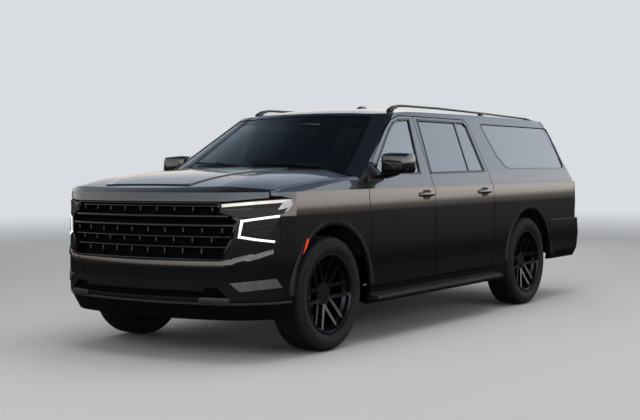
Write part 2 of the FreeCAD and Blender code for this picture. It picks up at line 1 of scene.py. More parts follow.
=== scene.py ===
import json
import math
import bmesh
import bpy
from mathutils import Matrix, Vector


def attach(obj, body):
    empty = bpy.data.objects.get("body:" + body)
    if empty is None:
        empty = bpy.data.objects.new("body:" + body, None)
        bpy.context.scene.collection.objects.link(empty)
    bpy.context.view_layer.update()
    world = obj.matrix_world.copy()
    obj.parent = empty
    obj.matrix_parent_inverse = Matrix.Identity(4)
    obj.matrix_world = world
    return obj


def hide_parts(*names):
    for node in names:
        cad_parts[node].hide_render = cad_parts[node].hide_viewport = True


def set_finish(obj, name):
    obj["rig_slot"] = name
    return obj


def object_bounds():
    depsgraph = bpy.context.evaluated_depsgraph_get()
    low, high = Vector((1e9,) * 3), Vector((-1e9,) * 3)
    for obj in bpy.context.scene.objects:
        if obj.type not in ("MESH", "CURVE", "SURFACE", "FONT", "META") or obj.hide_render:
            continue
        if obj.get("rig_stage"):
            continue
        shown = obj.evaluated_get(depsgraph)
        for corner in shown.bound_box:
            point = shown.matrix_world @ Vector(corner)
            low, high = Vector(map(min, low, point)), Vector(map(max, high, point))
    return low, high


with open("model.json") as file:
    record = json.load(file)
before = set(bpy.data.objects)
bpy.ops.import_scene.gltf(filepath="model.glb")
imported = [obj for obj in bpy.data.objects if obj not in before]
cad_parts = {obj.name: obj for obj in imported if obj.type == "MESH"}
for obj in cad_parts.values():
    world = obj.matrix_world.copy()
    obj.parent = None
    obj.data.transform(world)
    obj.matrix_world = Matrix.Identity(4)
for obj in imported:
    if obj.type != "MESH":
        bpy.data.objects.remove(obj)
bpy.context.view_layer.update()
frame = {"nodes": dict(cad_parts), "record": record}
nodes = frame["nodes"]
mm = 0.001


def linear(hexColour):  # sRGB hex to linear RGBA
    parts = [int(hexColour[i:i + 2], 16) / 255 for i in (1, 3, 5)]
    return [c / 12.92 if c <= 0.04045 else ((c + 0.055) / 1.055) ** 2.4 for c in parts] + [1.0]


def addNode(tree, kind, place, settings=None, links=None):  # whole-number keys are socket numbers
    node = tree.nodes.new(kind)
    node.location = place
    for key, value in (settings or {}).items():
        if isinstance(key, str) and hasattr(node, key):
            setattr(node, key, value)
        else:
            node.inputs[key].default_value = value
    for key, source in (links or {}).items():
        tree.links.new(source, node.inputs[key])
    return node


def fillRamp(ramp, stops):  # a ramp's positions with their colours
    while len(ramp.color_ramp.elements) < len(stops):
        ramp.color_ramp.elements.new(0.5)
    for element, (position, colour) in zip(ramp.color_ramp.elements, stops):
        element.position, element.color = position, colour


def startMaterial(name, values):  # a Principled shader and the object's own coordinates
    material = bpy.data.materials.new(name)
    material.use_nodes = True
    tree = material.node_tree
    tree.nodes.clear()
    shader = addNode(tree, "ShaderNodeBsdfPrincipled", (300, 0), values)
    addNode(tree, "ShaderNodeOutputMaterial", (620, 0), links={"Surface": shader.outputs["BSDF"]})
    place = addNode(tree, "ShaderNodeTexCoord", (-1100, 0)).outputs["Object"]
    return material, tree, shader, place


mottle = {"edges": (0.35, 0.65), "grainEdges": (0.3, 0.7), "wear": 0.06}  # where noise turns, and the wear's reach


def makeSurface(name, look):  # a mottled colour, worn in its roughness, over a fine relief; sizes are in mm
    values = dict(look["values"])
    material, tree, shader, place = startMaterial(name, values)
    patches = addNode(tree, "ShaderNodeTexNoise", (-800, 200), {"Scale": 1000 / look["patch"], "Detail": 3.0},
                      {"Vector": place})
    ramp = addNode(tree, "ShaderNodeValToRGB", (-560, 200), links={"Fac": patches.outputs["Fac"]})
    for element, position, colour in zip(ramp.color_ramp.elements, mottle["edges"], (look["low"], look["high"])):
        element.position, element.color = position, linear(colour)
    tree.links.new(ramp.outputs["Color"], shader.inputs["Base Color"])
    if "grain" in look:
        grain = addNode(tree, "ShaderNodeTexNoise", (-800, -300), {"Scale": 1000 / look["grain"], "Detail": 4.0},
                        {"Vector": place})
        rough, (least, most) = values["Roughness"], mottle["grainEdges"]
        wear = addNode(tree, "ShaderNodeMapRange", (-300, -120),
                       {"From Min": least, "From Max": most, "To Min": rough - mottle["wear"],
                        "To Max": rough + mottle["wear"]},
                       {"Value": grain.outputs["Fac"]})
        tree.links.new(wear.outputs["Result"], shader.inputs["Roughness"])
        bump = addNode(tree, "ShaderNodeBump", (0, -400), {"Strength": look["bump"], "Distance": look["depth"] * mm},
                       {"Height": grain.outputs["Fac"]})
        tree.links.new(bump.outputs["Normal"], shader.inputs["Normal"])
    return material


# Body paint: black base coat with a fine flake, sprayed clear coat on top, polished, so it mirrors what is round it
# The pressed panels crown between their creases, which the flat facets don't show, so the gloss gets it as relief,
# with shares of its height at shares of the way from crownFrom to crownTo
paint = {"base": "#050608", "flake": "#121418", "flakeSize": 1.5, "flakeEdge": 0.45, "peelSize": 12.0,
         "peelDepth": 0.05, "peelStrength": 0.05, "crownFrom": 300, "crownTo": 1300, "crown": 17.0,
         "crownRows": ((0.0, 0.0), (0.26, 0.0), (0.35, 0.55), (0.42, 0.92), (0.55, 1.0), (0.70, 1.0),
                       (0.76, 0.92), (0.82, 0.68), (0.87, 0.25), (0.9, 0.2), (1.0, 0.2))}
material, tree, shader, place = startMaterial("clearCoatedBlackPaint", {
    "Roughness": 0.42, "Specular IOR Level": 0.3, "Coat Weight": 1.0, "Coat Roughness": 0.015, "Coat IOR": 1.95})
flakes = addNode(tree, "ShaderNodeTexVoronoi", (-800, 200), {"Scale": 1000 / paint["flakeSize"]}, {"Vector": place})
shimmer = addNode(tree, "ShaderNodeValToRGB", (-560, 200), links={"Fac": flakes.outputs["Distance"]})
fillRamp(shimmer, ((0.0, linear(paint["flake"])), (paint["flakeEdge"], linear(paint["base"]))))
peel = addNode(tree, "ShaderNodeTexNoise", (-800, -300), {"Scale": 1000 / paint["peelSize"], "Detail": 1.0},
               {"Vector": place})
axes = addNode(tree, "ShaderNodeSeparateXYZ", (-900, -600), links={"Vector": place})
share = addNode(tree, "ShaderNodeMapRange", (-720, -600),
                {"From Min": paint["crownFrom"] * mm, "From Max": paint["crownTo"] * mm},
                {"Value": axes.outputs["Z"]})
rows = addNode(tree, "ShaderNodeValToRGB", (-540, -600), links={"Fac": share.outputs[0]})
rows.color_ramp.interpolation = "B_SPLINE"
fillRamp(rows, [(position, (value, value, value, 1.0)) for position, value in paint["crownRows"]])
crown = addNode(tree, "ShaderNodeBump", (-200, -500), {"Strength": 1.0, "Distance": paint["crown"] * mm},
                {"Height": rows.outputs["Color"]})
orangePeel = addNode(tree, "ShaderNodeBump", (0, -400),
                     {"Strength": paint["peelStrength"], "Distance": paint["peelDepth"] * mm},
                     {"Height": peel.outputs["Fac"], "Normal": crown.outputs["Normal"]})
tree.links.new(shimmer.outputs["Color"], shader.inputs["Base Color"])
tree.links.new(crown.outputs["Normal"], shader.inputs["Normal"])
tree.links.new(orangePeel.outputs["Normal"], shader.inputs["Coat Normal"])
bodyPaint = material

# Safety glass: float glass with a faint green body tint in front and a dark privacy tint behind the front doors
glass = {"front": "#A9B5B1", "privacy": "#4A5155", "dusty": 0.93, "dustSize": 350, "frit": "#070708", "fritWidth": 42.0,
         "sideLean": 0.4444, "sideAt": 842.0, "sideHeight": 1370.0, "top": 1692.0, "foot": 1352.0, "fade": 4.0,
         "fritFall": 8.0}
panes = {}
for name, colour in (("tintedFloatGlass", glass["front"]), ("privacyFloatGlass", glass["privacy"])):
    material, tree, shader, place = startMaterial(name, {
        "Roughness": 0.0, "IOR": 1.52, "Transmission Weight": 1.0, "Coat Weight": 1.0, "Coat Roughness": 0.0,
        "Coat IOR": 1.8})
    dust = addNode(tree, "ShaderNodeTexNoise", (-800, 200), {"Scale": 1000 / glass["dustSize"], "Detail": 2.0},
                   {"Vector": place})
    tone = addNode(tree, "ShaderNodeValToRGB", (-560, 200), links={"Fac": dust.outputs["Fac"]})
    fillRamp(tone, ((0.0, linear(colour)), (1.0, [c * glass["dusty"] for c in linear(colour)[:3]] + [1.0])))
    tree.links.new(tone.outputs["Color"], shader.inputs["Base Color"])
    panes[name] = material

# Windshield: the same glass, with a black enamel border fired on its inner face
material, tree, shader, place = startMaterial("enamelBorderedWindshield", {"IOR": 1.52, "Roughness": 0.0})
axes = addNode(tree, "ShaderNodeSeparateXYZ", (-900, 0), links={"Vector": place})
sideways = addNode(tree, "ShaderNodeMath", (-720, 120), {"operation": "ABSOLUTE"}, {0: axes.outputs["Y"]})
edgeAt = (glass["fritWidth"] - glass["sideAt"] - glass["sideLean"] * glass["sideHeight"]) * mm
lean = addNode(tree, "ShaderNodeMath", (-720, -60), {"operation": "MULTIPLY_ADD", 1: glass["sideLean"], 2: edgeAt},
               {0: axes.outputs["Z"]})
overSide = addNode(tree, "ShaderNodeMath", (-540, 60), {"operation": "ADD"},
                   {0: sideways.outputs[0], 1: lean.outputs[0]})
overTop = addNode(tree, "ShaderNodeMath", (-540, -100), {"operation": "SUBTRACT", 1: glass["top"] * mm},
                  {0: axes.outputs["Z"]})
underFoot = addNode(tree, "ShaderNodeMath", (-540, -260), {"operation": "SUBTRACT", 0: glass["foot"] * mm},
                    {1: axes.outputs["Z"]})
upper = addNode(tree, "ShaderNodeMath", (-360, 0), {"operation": "MAXIMUM"},
                {0: overSide.outputs[0], 1: overTop.outputs[0]})
border = addNode(tree, "ShaderNodeMath", (-200, -60), {"operation": "MAXIMUM"},
                 {0: upper.outputs[0], 1: underFoot.outputs[0]})
clear = addNode(tree, "ShaderNodeMapRange", (-20, 60),
                {"From Min": -glass["fade"] * mm, "From Max": glass["fade"] * mm, "To Min": 1.0, "To Max": 0.0},
                {"Value": border.outputs[0]})
dark = addNode(tree, "ShaderNodeMath", (-20, 420), {"operation": "POWER", 1: glass["fritFall"]}, {0: clear.outputs[0]})
tone = addNode(tree, "ShaderNodeMix", (160, 260), {"data_type": "RGBA"}, {"Factor": dark.outputs[0]})
tone.inputs[6].default_value, tone.inputs[7].default_value = linear(glass["frit"]), linear(glass["front"])
tree.links.new(tone.outputs[2], shader.inputs["Base Color"])
tree.links.new(clear.outputs[0], shader.inputs["Transmission Weight"])
windshieldGlass = material

# Lens of the rear lamps: red acrylic over a row of lit ribs, with a clear foot for the reversing lamp
rearLens = {"red": "#8E0D12", "clear": "#C9CCD0", "footTop": 868.0, "rib": 26.0, "ribDepth": 1.2, "ribShade": 0.6,
            "ribStrength": 0.5, "waveGap": 20 / 6.283}  # gap is the distance of a wave texture's bands at scale 1
material, tree, shader, place = startMaterial("ribbedAcrylicLens", {
    "Roughness": 0.08, "IOR": 1.49, "Coat Weight": 1.0, "Coat Roughness": 0.02, "Emission Strength": 0.35})
axes = addNode(tree, "ShaderNodeSeparateXYZ", (-900, 0), links={"Vector": place})
foot = addNode(tree, "ShaderNodeMath", (-700, 120), {"operation": "LESS_THAN", 1: rearLens["footTop"] * mm},
               {0: axes.outputs["Z"]})
tone = addNode(tree, "ShaderNodeMix", (-480, 160), {"data_type": "RGBA"}, {"Factor": foot.outputs[0]})
tone.inputs[6].default_value, tone.inputs[7].default_value = linear(rearLens["red"]), linear(rearLens["clear"])
ribs = addNode(tree, "ShaderNodeTexWave", (-700, -200),
               {"bands_direction": "Z", "Scale": 1000 / rearLens["rib"] / rearLens["waveGap"]},
               {"Vector": place})
relief = addNode(tree, "ShaderNodeBump", (0, -400),
                 {"Strength": rearLens["ribStrength"], "Distance": rearLens["ribDepth"] * mm},
                 {"Height": ribs.outputs["Fac"]})
glow = addNode(tree, "ShaderNodeMix", (-240, -40),
               {"data_type": "RGBA", "blend_type": "MULTIPLY", "Factor": rearLens["ribShade"]},
               {6: tone.outputs[2], 7: ribs.outputs["Color"]})
tree.links.new(glow.outputs[2], shader.inputs["Base Color"])
tree.links.new(glow.outputs[2], shader.inputs["Emission Color"])
tree.links.new(relief.outputs["Normal"], shader.inputs["Normal"])
lampLens = material

# Every other finish: what it is, how it was made, and what that gives the eye
looks = {
    # injection moulded in a polished tool: even black, sharp highlights
    "glossBlackAbs": {"low": "#060607", "high": "#0B0B0C", "patch": 60, "values": {"Roughness": 0.1}},
    # moulded in a spark-eroded tool: a dull even sheen
    "satinBlackAbs": {"low": "#0C0C0D", "high": "#121213", "patch": 25, "grain": 1.2, "bump": 0.15, "depth": 0.1,
                      "values": {"Roughness": 0.42}},
    # moulded with a leather-like tool grain, scuffed grey where it is touched; grain drawn at twice its size to show
    "grainedPolypropylene": {"low": "#101011", "high": "#1A1A1B", "patch": 40, "grain": 2.4, "bump": 0.5, "depth": 0.25,
                             "values": {"Roughness": 0.66}},
    # extruded and moulded rubber: soft sheen on the ribs, brown-grey bloom in patches
    "curedTyreRubber": {"low": "#121212", "high": "#1C1B1A", "patch": 45, "grain": 1.8, "bump": 0.3, "depth": 0.2,
                        "values": {"Roughness": 0.72, "Specular IOR Level": 0.4}},
    # cast, machined, then powder coated gloss black under lacquer
    "glossBlackAlloy": {"low": "#070708", "high": "#0E0F10", "patch": 30,
                        "values": {"Roughness": 0.35, "Specular IOR Level": 0.3, "Coat Weight": 0.45,
                                   "Coat Roughness": 0.05}},
    # plated in black chromium over satin nickel: a smoky metal
    "blackChrome": {"low": "#4A4B4D", "high": "#565759", "patch": 80, "values": {"Metallic": 1.0, "Roughness": 0.22}},
    # plated in bright chromium: nearly a mirror
    "brightChrome": {"low": "#C2C4C6", "high": "#D2D4D6", "patch": 90, "values": {"Metallic": 1.0, "Roughness": 0.07}},
    # painted satin grey: the bumper's bezels and the chin strip
    "satinGreyTrim": {"low": "#77787A", "high": "#87888A", "patch": 60, "grain": 2.0, "bump": 0.1, "depth": 0.05,
                      "values": {"Metallic": 0.85, "Roughness": 0.34}},
    # rolled, welded and dipped in wax: drips and dust
    "waxedFrameSteel": {"low": "#0F0F10", "high": "#1D1B19", "patch": 60, "grain": 8, "bump": 0.35, "depth": 0.5,
                        "values": {"Roughness": 0.55}},
    # electro-coated and sprayed with stone guard: a fine orange peel
    "stoneGuardPrimer": {"low": "#131416", "high": "#1D1E20", "patch": 40, "grain": 3, "bump": 0.4, "depth": 0.3,
                         "values": {"Roughness": 0.6}},
    # needled felt: no highlight at all
    "needledFelt": {"low": "#0A0A0A", "high": "#141414", "patch": 6, "grain": 2.5, "bump": 0.7, "depth": 0.6,
                    "values": {"Roughness": 0.9}},
    # sand cast: a pale rough skin
    "castAluminium": {"low": "#6F7072", "high": "#8C8D90", "patch": 14, "grain": 3, "bump": 0.45, "depth": 0.35,
                      "values": {"Metallic": 1.0, "Roughness": 0.5}},
    # cast, then turned where it carries the wheel, with a film of rust
    "machinedCastIron": {"low": "#35312D", "high": "#4A4642", "patch": 10, "grain": 3, "bump": 0.4, "depth": 0.3,
                         "values": {"Metallic": 0.9, "Roughness": 0.58}},
    # bent stainless tube, browned by heat
    "heatTintedStainless": {"low": "#6E665E", "high": "#918A82", "patch": 55, "grain": 5, "bump": 0.1, "depth": 0.1,
                            "values": {"Metallic": 1.0, "Roughness": 0.36}},
    # slush moulded skin over foam: a soft even grain
    "softTouchVinyl": {"low": "#151517", "high": "#1D1E20", "patch": 30, "grain": 1.6, "bump": 0.4, "depth": 0.2,
                       "values": {"Roughness": 0.64}},
    # tanned and grained hide, stretched over foam: a low broad sheen
    "grainedHide": {"low": "#1C1C1D", "high": "#262627", "patch": 70, "grain": 2.4, "bump": 0.5, "depth": 0.3,
                    "values": {"Roughness": 0.5, "Specular IOR Level": 0.4}},
    # perforated hide on the seat's middle, darker for its holes
    "perforatedHide": {"low": "#202021", "high": "#2B2B2C", "patch": 50, "grain": 3.4, "bump": 0.8, "depth": 0.5,
                       "values": {"Roughness": 0.58}},
    # moulded acrylic with a prism back, amber
    "amberAcrylic": {"low": "#D9411B", "high": "#F0552A", "patch": 12, "grain": 5, "bump": 0.6, "depth": 0.8,
                     "values": {"Roughness": 0.2, "Coat Weight": 1.0, "Emission Color": linear("#FF4A1C"),
                                "Emission Strength": 0.35}},
    # moulded acrylic with a prism back, red
    "redReflector": {"low": "#7A0A0E", "high": "#9A1015", "patch": 12, "grain": 5, "bump": 0.6, "depth": 0.8,
                     "values": {"Roughness": 0.2, "Coat Weight": 1.0}},
    # frosted light guide with diodes behind it: a white glow
    "frostedLightGuide": {"low": "#F2F5F4", "high": "#FFFFFF", "patch": 30,
                          "values": {"Roughness": 0.3, "Emission Color": linear("#F6FAFF"), "Emission Strength": 0.75}},
    # clear polycarbonate over the lamp's black housing: dark, with a thin gloss
    "lampHousing": {"low": "#0B0C0E", "high": "#17191C", "patch": 45,
                    "values": {"Roughness": 0.3, "Specular IOR Level": 0.3, "Coat Weight": 0.25,
                               "Coat Roughness": 0.02}},
    # unpolished mould black, dusty and dull, made darker than any moulding as painted shade for the depths behind the
    # grille and the intake
    "shutterBlack": {"low": "#020203", "high": "#060607", "patch": 35, "grain": 0.9, "bump": 0.3, "depth": 0.3,
                     "values": {"Roughness": 0.75, "Specular IOR Level": 0.12}},
    # ground optical glass of a projector
    "projectorLens": {"low": "#9AA2A8", "high": "#B5BCC2", "patch": 30, "values": {"Roughness": 0.04, "Metallic": 0.7}},
    # silvered glass of a mirror
    "silveredGlass": {"low": "#B4BABF", "high": "#BFC5CA", "patch": 200,
                      "values": {"Metallic": 1.0, "Roughness": 0.02}},
    # a switched-off display: black glass
    "displayGlass": {"low": "#050607", "high": "#090A0C", "patch": 90,
                     "values": {"Roughness": 0.06, "Coat Weight": 1.0}},
}
materials = {name: makeSurface(name, look) for name, look in looks.items()}
materials.update({"paint": bodyPaint, "rearLens": lampLens, "windshieldGlass": windshieldGlass,
                  "frontGlass": panes["tintedFloatGlass"], "privacyGlass": panes["privacyFloatGlass"]})
finishes = {  # the record's slot and the material that it gets
    "body_paint": "paint", "window_glass": "privacyGlass", "tyre_rubber": "curedTyreRubber",
    "wheel_black": "glossBlackAlloy", "lamp_clear": "lampHousing", "lamp_red": "rearLens",
    "grille_black": "glossBlackAbs", "trim_black": "satinBlackAbs", "step_plastic": "grainedPolypropylene",
    "frame_steel": "waxedFrameSteel", "floor_paint": "stoneGuardPrimer", "liner_plastic": "needledFelt",
    "cast_metal": "castAluminium", "cast_iron": "machinedCastIron", "tank_plastic": "grainedPolypropylene",
    "exhaust_steel": "heatTintedStainless", "interior_plastic": "softTouchVinyl", "interior_leather": "softTouchVinyl",
    "seat_leather": "grainedHide",
}
exceptions = {"windshield": "windshieldGlass", "glass_front_left": "frontGlass", "glass_front_right": "frontGlass",
              "radiator": "satinBlackAbs", "roof_rails": "glossBlackAbs"}
slotOf = {part["node"]: part["material_slot"] for part in frame["record"]["subparts"]}
for name, node in nodes.items():
    node.data.materials.clear()
    node.data.materials.append(materials[exceptions.get(name, finishes[slotOf[name]])])
print("materials and CAD finishes done")

# Camera at the photograph's place
camera = {"place": (8.962, 5.697, 1.333), "yaw": -145.852, "pitch": -2.092, "roll": -0.467, "lens": 66.29}
bpy.ops.object.camera_add(location=camera["place"])
view = bpy.context.object
view.name = "photoCamera"
yaw, pitch = math.radians(camera["yaw"]), math.radians(camera["pitch"])
forward = Vector((math.cos(yaw) * math.cos(pitch), math.sin(yaw) * math.cos(pitch), math.sin(pitch)))
right = Vector((math.sin(yaw), -math.cos(yaw), 0))
up = right.cross(forward)
turn = Matrix((right, up, -forward)).transposed() @ Matrix.Rotation(math.radians(camera["roll"]), 3, "Z")
view.rotation_euler = turn.to_euler()
view.data.lens = camera["lens"]
view.data.sensor_width = 36
bpy.context.scene.camera = view

# Pale floor that runs into the backdrop's colour. In the paint it mirrors as dark ground.
stage = {"floor": "#C7C6C3", "backdrop": "#D9DCE0", "mirrored": "#141517", "fadeFrom": 6.0, "fadeTo": 26.0}
bpy.ops.mesh.primitive_plane_add(size=200, location=(0, 0, -0.001))
floor = bpy.context.object
floor.name = "studioFloor"
floor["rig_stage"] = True
material, tree, shader, place = startMaterial("paleStudioFloor",
                                              {"Base Color": linear(stage["floor"]), "Roughness": 0.8})
out = tree.nodes["Material Output"]
away = addNode(tree, "ShaderNodeVectorMath", (-800, -200), {"operation": "LENGTH"}, {0: place})
fade = addNode(tree, "ShaderNodeMapRange", (-560, -200),
               {"interpolation_type": "SMOOTHSTEP", "From Min": stage["fadeFrom"], "From Max": stage["fadeTo"]},
               {"Value": away.outputs["Value"]})
backdrop = addNode(tree, "ShaderNodeEmission", (0, -220), {"Color": linear(stage["backdrop"])})
faded = addNode(tree, "ShaderNodeMixShader", (320, -120),
                links={0: fade.outputs[0], 1: shader.outputs[0], 2: backdrop.outputs[0]})
ground = addNode(tree, "ShaderNodeEmission", (0, -420), {"Color": linear(stage["mirrored"])})
rays = addNode(tree, "ShaderNodeLightPath", (0, 320))
mirroredFloor = addNode(tree, "ShaderNodeMixShader", (500, -60),
                        links={0: rays.outputs["Is Glossy Ray"], 1: faded.outputs[0], 2: ground.outputs[0]})
tree.links.new(mirroredFloor.outputs[0], out.inputs["Surface"])
floor.data.materials.append(material)

# Studio sky: plain for the camera and through glass, and a soft band from a warm horizon to a cool top in the gloss
sky = {"plainStrength": 0.55, "glossStrength": 1.8, "farStrength": 0.95, "farY": -0.7, "nearY": 0.4,
       "bands": ((0.0, "#0E0F10"), (0.502, "#141517"), (0.515, "#6A645D"), (0.53, "#E9E0D6"), (0.56, "#FFF6EC"),
                 (0.64, "#D3DBE6"), (0.70, "#C9D4E2"), (0.80, "#75849A"), (0.88, "#343E4B"), (1.0, "#262D37"))}
world = bpy.data.worlds.new("studioWorld")
bpy.context.scene.world = world
world.use_nodes = True
tree = world.node_tree
tree.nodes.clear()
direction = addNode(tree, "ShaderNodeTexCoord", (-1000, -100))
height = addNode(tree, "ShaderNodeSeparateXYZ", (-820, -100), links={0: direction.outputs["Generated"]})
share = addNode(tree, "ShaderNodeMapRange", (-640, -100), {"From Min": -1.0, "From Max": 1.0},
                {"Value": height.outputs["Z"]})
bands = addNode(tree, "ShaderNodeValToRGB", (-440, -100), links={"Fac": share.outputs[0]})
fillRamp(bands, [(position, linear(colour)) for position, colour in sky["bands"]])
rays = addNode(tree, "ShaderNodeLightPath", (-700, 300))
seen = addNode(tree, "ShaderNodeMath", (-440, 300), {"operation": "MAXIMUM"},
               {0: rays.outputs["Is Camera Ray"], 1: rays.outputs["Is Transmission Ray"]})
level = addNode(tree, "ShaderNodeMapRange", (-240, 300), {"To Min": sky["plainStrength"], "To Max": 1.0},
                {"Value": seen.outputs[0]})
plain = addNode(tree, "ShaderNodeBackground", (0, 200), {"Color": linear(stage["backdrop"])},
                {"Strength": level.outputs[0]})
flank = addNode(tree, "ShaderNodeMapRange", (-440, -340),
                {"From Min": sky["farY"], "From Max": sky["nearY"], "To Min": sky["farStrength"],
                 "To Max": sky["glossStrength"]}, {"Value": height.outputs["Y"]})
gloss = addNode(tree, "ShaderNodeBackground", (0, 0),
                links={"Color": bands.outputs["Color"], "Strength": flank.outputs[0]})
lit = addNode(tree, "ShaderNodeMixShader", (200, 100),
              links={0: rays.outputs["Is Glossy Ray"], 1: plain.outputs[0], 2: gloss.outputs[0]})
addNode(tree, "ShaderNodeOutputWorld", (400, 100), links={"Surface": lit.outputs[0]})

softboxes = (  # name, place, size, power, looks at
    ("overheadSoftbox", (0.5, 1.5, 7.0), (9.0, 5.0), 300, (0, 0, 0.8)),
    ("frontSoftbox", (9.0, 1.0, 4.0), (5.0, 3.0), 140, (0.5, 0, 0.9)),
    ("sideSoftbox", (1.0, 9.0, 3.5), (9.0, 2.5), 150, (0, 0, 0.9)),
    ("backSoftbox", (-8.0, -5.0, 4.5), (6.0, 3.0), 160, (0, 0, 0.9)),
)
for name, place, size, power, target in softboxes:
    bpy.ops.object.light_add(type="AREA", location=place)
    softbox = bpy.context.object
    softbox.name = name
    softbox.data.shape = "RECTANGLE"
    softbox.data.size, softbox.data.size_y = size
    softbox.data.energy = power
    softbox.rotation_euler = (Vector(target) - Vector(place)).to_track_quat("-Z", "Y").to_euler()
    softbox.visible_glossy = False  # the sky's bands make the highlights
bpy.context.scene.view_settings.view_transform = "Standard"
print("camera and studio done")

# Hand tools. A piece starts as a primitive, is shaped in edit mode, and keeps its place in its mesh.
weldGap = 0.05  # in mm
# Height and half width of the body's side
outerSide = ((290, 1008), (1165, 1020), (1166, 1008), (1272, 972), (1776, 773.4))


def sideAt(z):  # half width of the body's side at a height, in mm
    for (z0, y0), (z1, y1) in zip(outerSide, outerSide[1:]):
        if z <= z1:
            return y0 + (y1 - y0) * (z - z0) / (z1 - z0)
    return outerSide[-1][1]


def choose(piece):  # object mode, with this piece alone selected
    bpy.ops.object.mode_set(mode="OBJECT")
    bpy.ops.object.select_all(action="DESELECT")
    piece.select_set(True)
    bpy.context.view_layer.objects.active = piece


def settle(piece):  # its place, turn and size go into the mesh
    choose(piece)
    bpy.ops.object.transform_apply(location=True, rotation=True, scale=True)


def selectAll():
    bpy.ops.mesh.select_all(action="SELECT")


def weld():  # merges the doubles of the whole piece
    selectAll()
    bpy.ops.mesh.remove_doubles(threshold=weldGap * mm)


def edit(piece):  # edit mode with nothing selected
    choose(piece)
    bpy.ops.object.mode_set(mode="EDIT")
    bpy.ops.mesh.select_all(action="DESELECT")


def pick(piece, mode, test):  # selects the faces, edges or vertices whose middle and normal pass the test
    bpy.ops.mesh.select_mode(type=mode)
    mesh = bmesh.from_edit_mesh(piece.data)
    mesh.normal_update()
    for part in {"FACE": mesh.faces, "EDGE": mesh.edges, "VERT": mesh.verts}[mode]:
        if mode == "FACE":
            chosen = test(part.calc_center_median() / mm, part.normal)
        elif mode == "EDGE":
            chosen = test((part.verts[0].co + part.verts[1].co) / (2 * mm), part.verts[0].co - part.verts[1].co)
        else:
            chosen = test(part.co / mm, part.normal)
        part.select_set(bool(chosen))
    mesh.select_flush_mode()
    bmesh.update_edit_mesh(piece.data)


def drawLine(name, points, closed=False):  # a vertex extruded from point to point, in mm; a closed line gets a face
    if bpy.context.object and bpy.context.object.mode != "OBJECT":
        bpy.ops.object.mode_set(mode="OBJECT")
    bpy.ops.object.select_all(action="DESELECT")
    bpy.ops.mesh.primitive_plane_add(size=10 * mm, location=Vector(points[0]) * mm)
    piece = bpy.context.object
    piece.name = name
    settle(piece)
    bpy.ops.object.mode_set(mode="EDIT")
    bpy.ops.mesh.select_mode(type="VERT")
    selectAll()
    bpy.ops.mesh.merge(type="CENTER")
    for a, b in zip(points, points[1:]):
        bpy.ops.mesh.extrude_region_move(TRANSFORM_OT_translate={"value": (Vector(b) - Vector(a)) * mm})
    if closed:
        selectAll()
        bpy.ops.mesh.edge_face_add()
    return piece


def extrude(step):  # all that is selected, by a step in mm
    bpy.ops.mesh.extrude_region_move(TRANSFORM_OT_translate={"value": Vector(step) * mm})


def sweep(*steps):  # extrudes the whole piece by each step in turn
    for step in steps:
        selectAll()
        extrude(step)


def modify(piece, kind, **settings):  # adds a modifier and applies it
    choose(piece)
    bpy.ops.object.modifier_add(type=kind)
    modifier = piece.modifiers[-1]
    for key, value in settings.items():
        setattr(modifier, key, value)
    bpy.ops.object.modifier_apply(modifier=modifier.name)


def finish(piece, material, body, slot, replaced=(), angle=35):  # normals, smoothing, finish and what it rides on
    edit(piece)
    weld()
    bpy.ops.mesh.normals_make_consistent(inside=False)
    settle(piece)
    bpy.ops.object.shade_smooth_by_angle(angle=math.radians(angle))
    piece.data.materials.clear()
    piece.data.materials.append(materials[material])
    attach(piece, body)
    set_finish(piece, slot)
    if replaced:
        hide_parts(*replaced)
    return piece


def duplicate(piece, name):  # a copy with its own mesh, which rides on nothing yet
    copy = piece.copy()
    copy.data = piece.data.copy()
    copy.name = name
    for key in [k for k in copy.keys() if k.startswith("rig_")]:
        del copy[key]
    copy.parent = None
    bpy.context.scene.collection.objects.link(copy)
    return copy


def copyPiece(piece, name, body, step=(0, 0, 0), flip=False, replaced=()):  # moved, or mirrored across the middle
    copy = duplicate(piece, name)
    copy.location = Vector(step) * mm
    if flip:
        copy.scale = (1, -1, 1)
    settle(copy)
    if flip:
        edit(copy)
        selectAll()
        bpy.ops.mesh.normals_make_consistent(inside=False)
        bpy.ops.object.mode_set(mode="OBJECT")
    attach(copy, body)
    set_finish(copy, piece["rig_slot"])
    if replaced:
        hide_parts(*replaced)
    return copy


def bevelEdges(piece, width, segments=2, angle=40):
    modify(piece, "BEVEL", width=width * mm, segments=segments, limit_method="ANGLE", angle_limit=math.radians(angle))


def slab(name, points, step, bevel=0.0, segments=2):  # a closed outline extruded by a step, its edges eased
    piece = drawLine(name, points, closed=True)
    extrude(step)
    bpy.ops.object.mode_set(mode="OBJECT")
    if bevel:
        bevelEdges(piece, bevel, segments)
    return piece


def block(name, low, high, bevel=0.0, segments=2):  # a slab between two corners, in mm
    (x0, y0, z0), (x1, y1, z1) = low, high
    return slab(name, [(x0, y0, z0), (x1, y0, z0), (x1, y1, z0), (x0, y1, z0)], (0, 0, z1 - z0), bevel, segments)


def raisedDisc(name, centre, radius, corners, high):  # a round face extruded upwards, left in edit mode; in mm
    bpy.ops.object.mode_set(mode="OBJECT")
    bpy.ops.mesh.primitive_circle_add(vertices=corners, radius=radius * mm, fill_type="NGON",
                                      location=tuple(c * mm for c in centre))
    piece = bpy.context.object
    piece.name = name
    settle(piece)
    bpy.ops.object.mode_set(mode="EDIT")
    sweep((0, 0, high))
    return piece


def spinRound(x, z, steps):  # the drawn section, swept once round an axle at x and z
    weld()
    selectAll()
    bpy.ops.mesh.spin(steps=steps, angle=2 * math.pi, center=(x * mm, 0, z * mm), axis=(0, 1, 0))
    weld()


def both(piece, material, body, slot, replaced=(), replacedRight=(), angle=35):  # finished, and mirrored to the right
    finish(piece, material, body, slot, replaced, angle)
    return copyPiece(piece, piece.name.replace("Left", "Right"), body.replace("left", "right"), flip=True,
                     replaced=replacedRight)


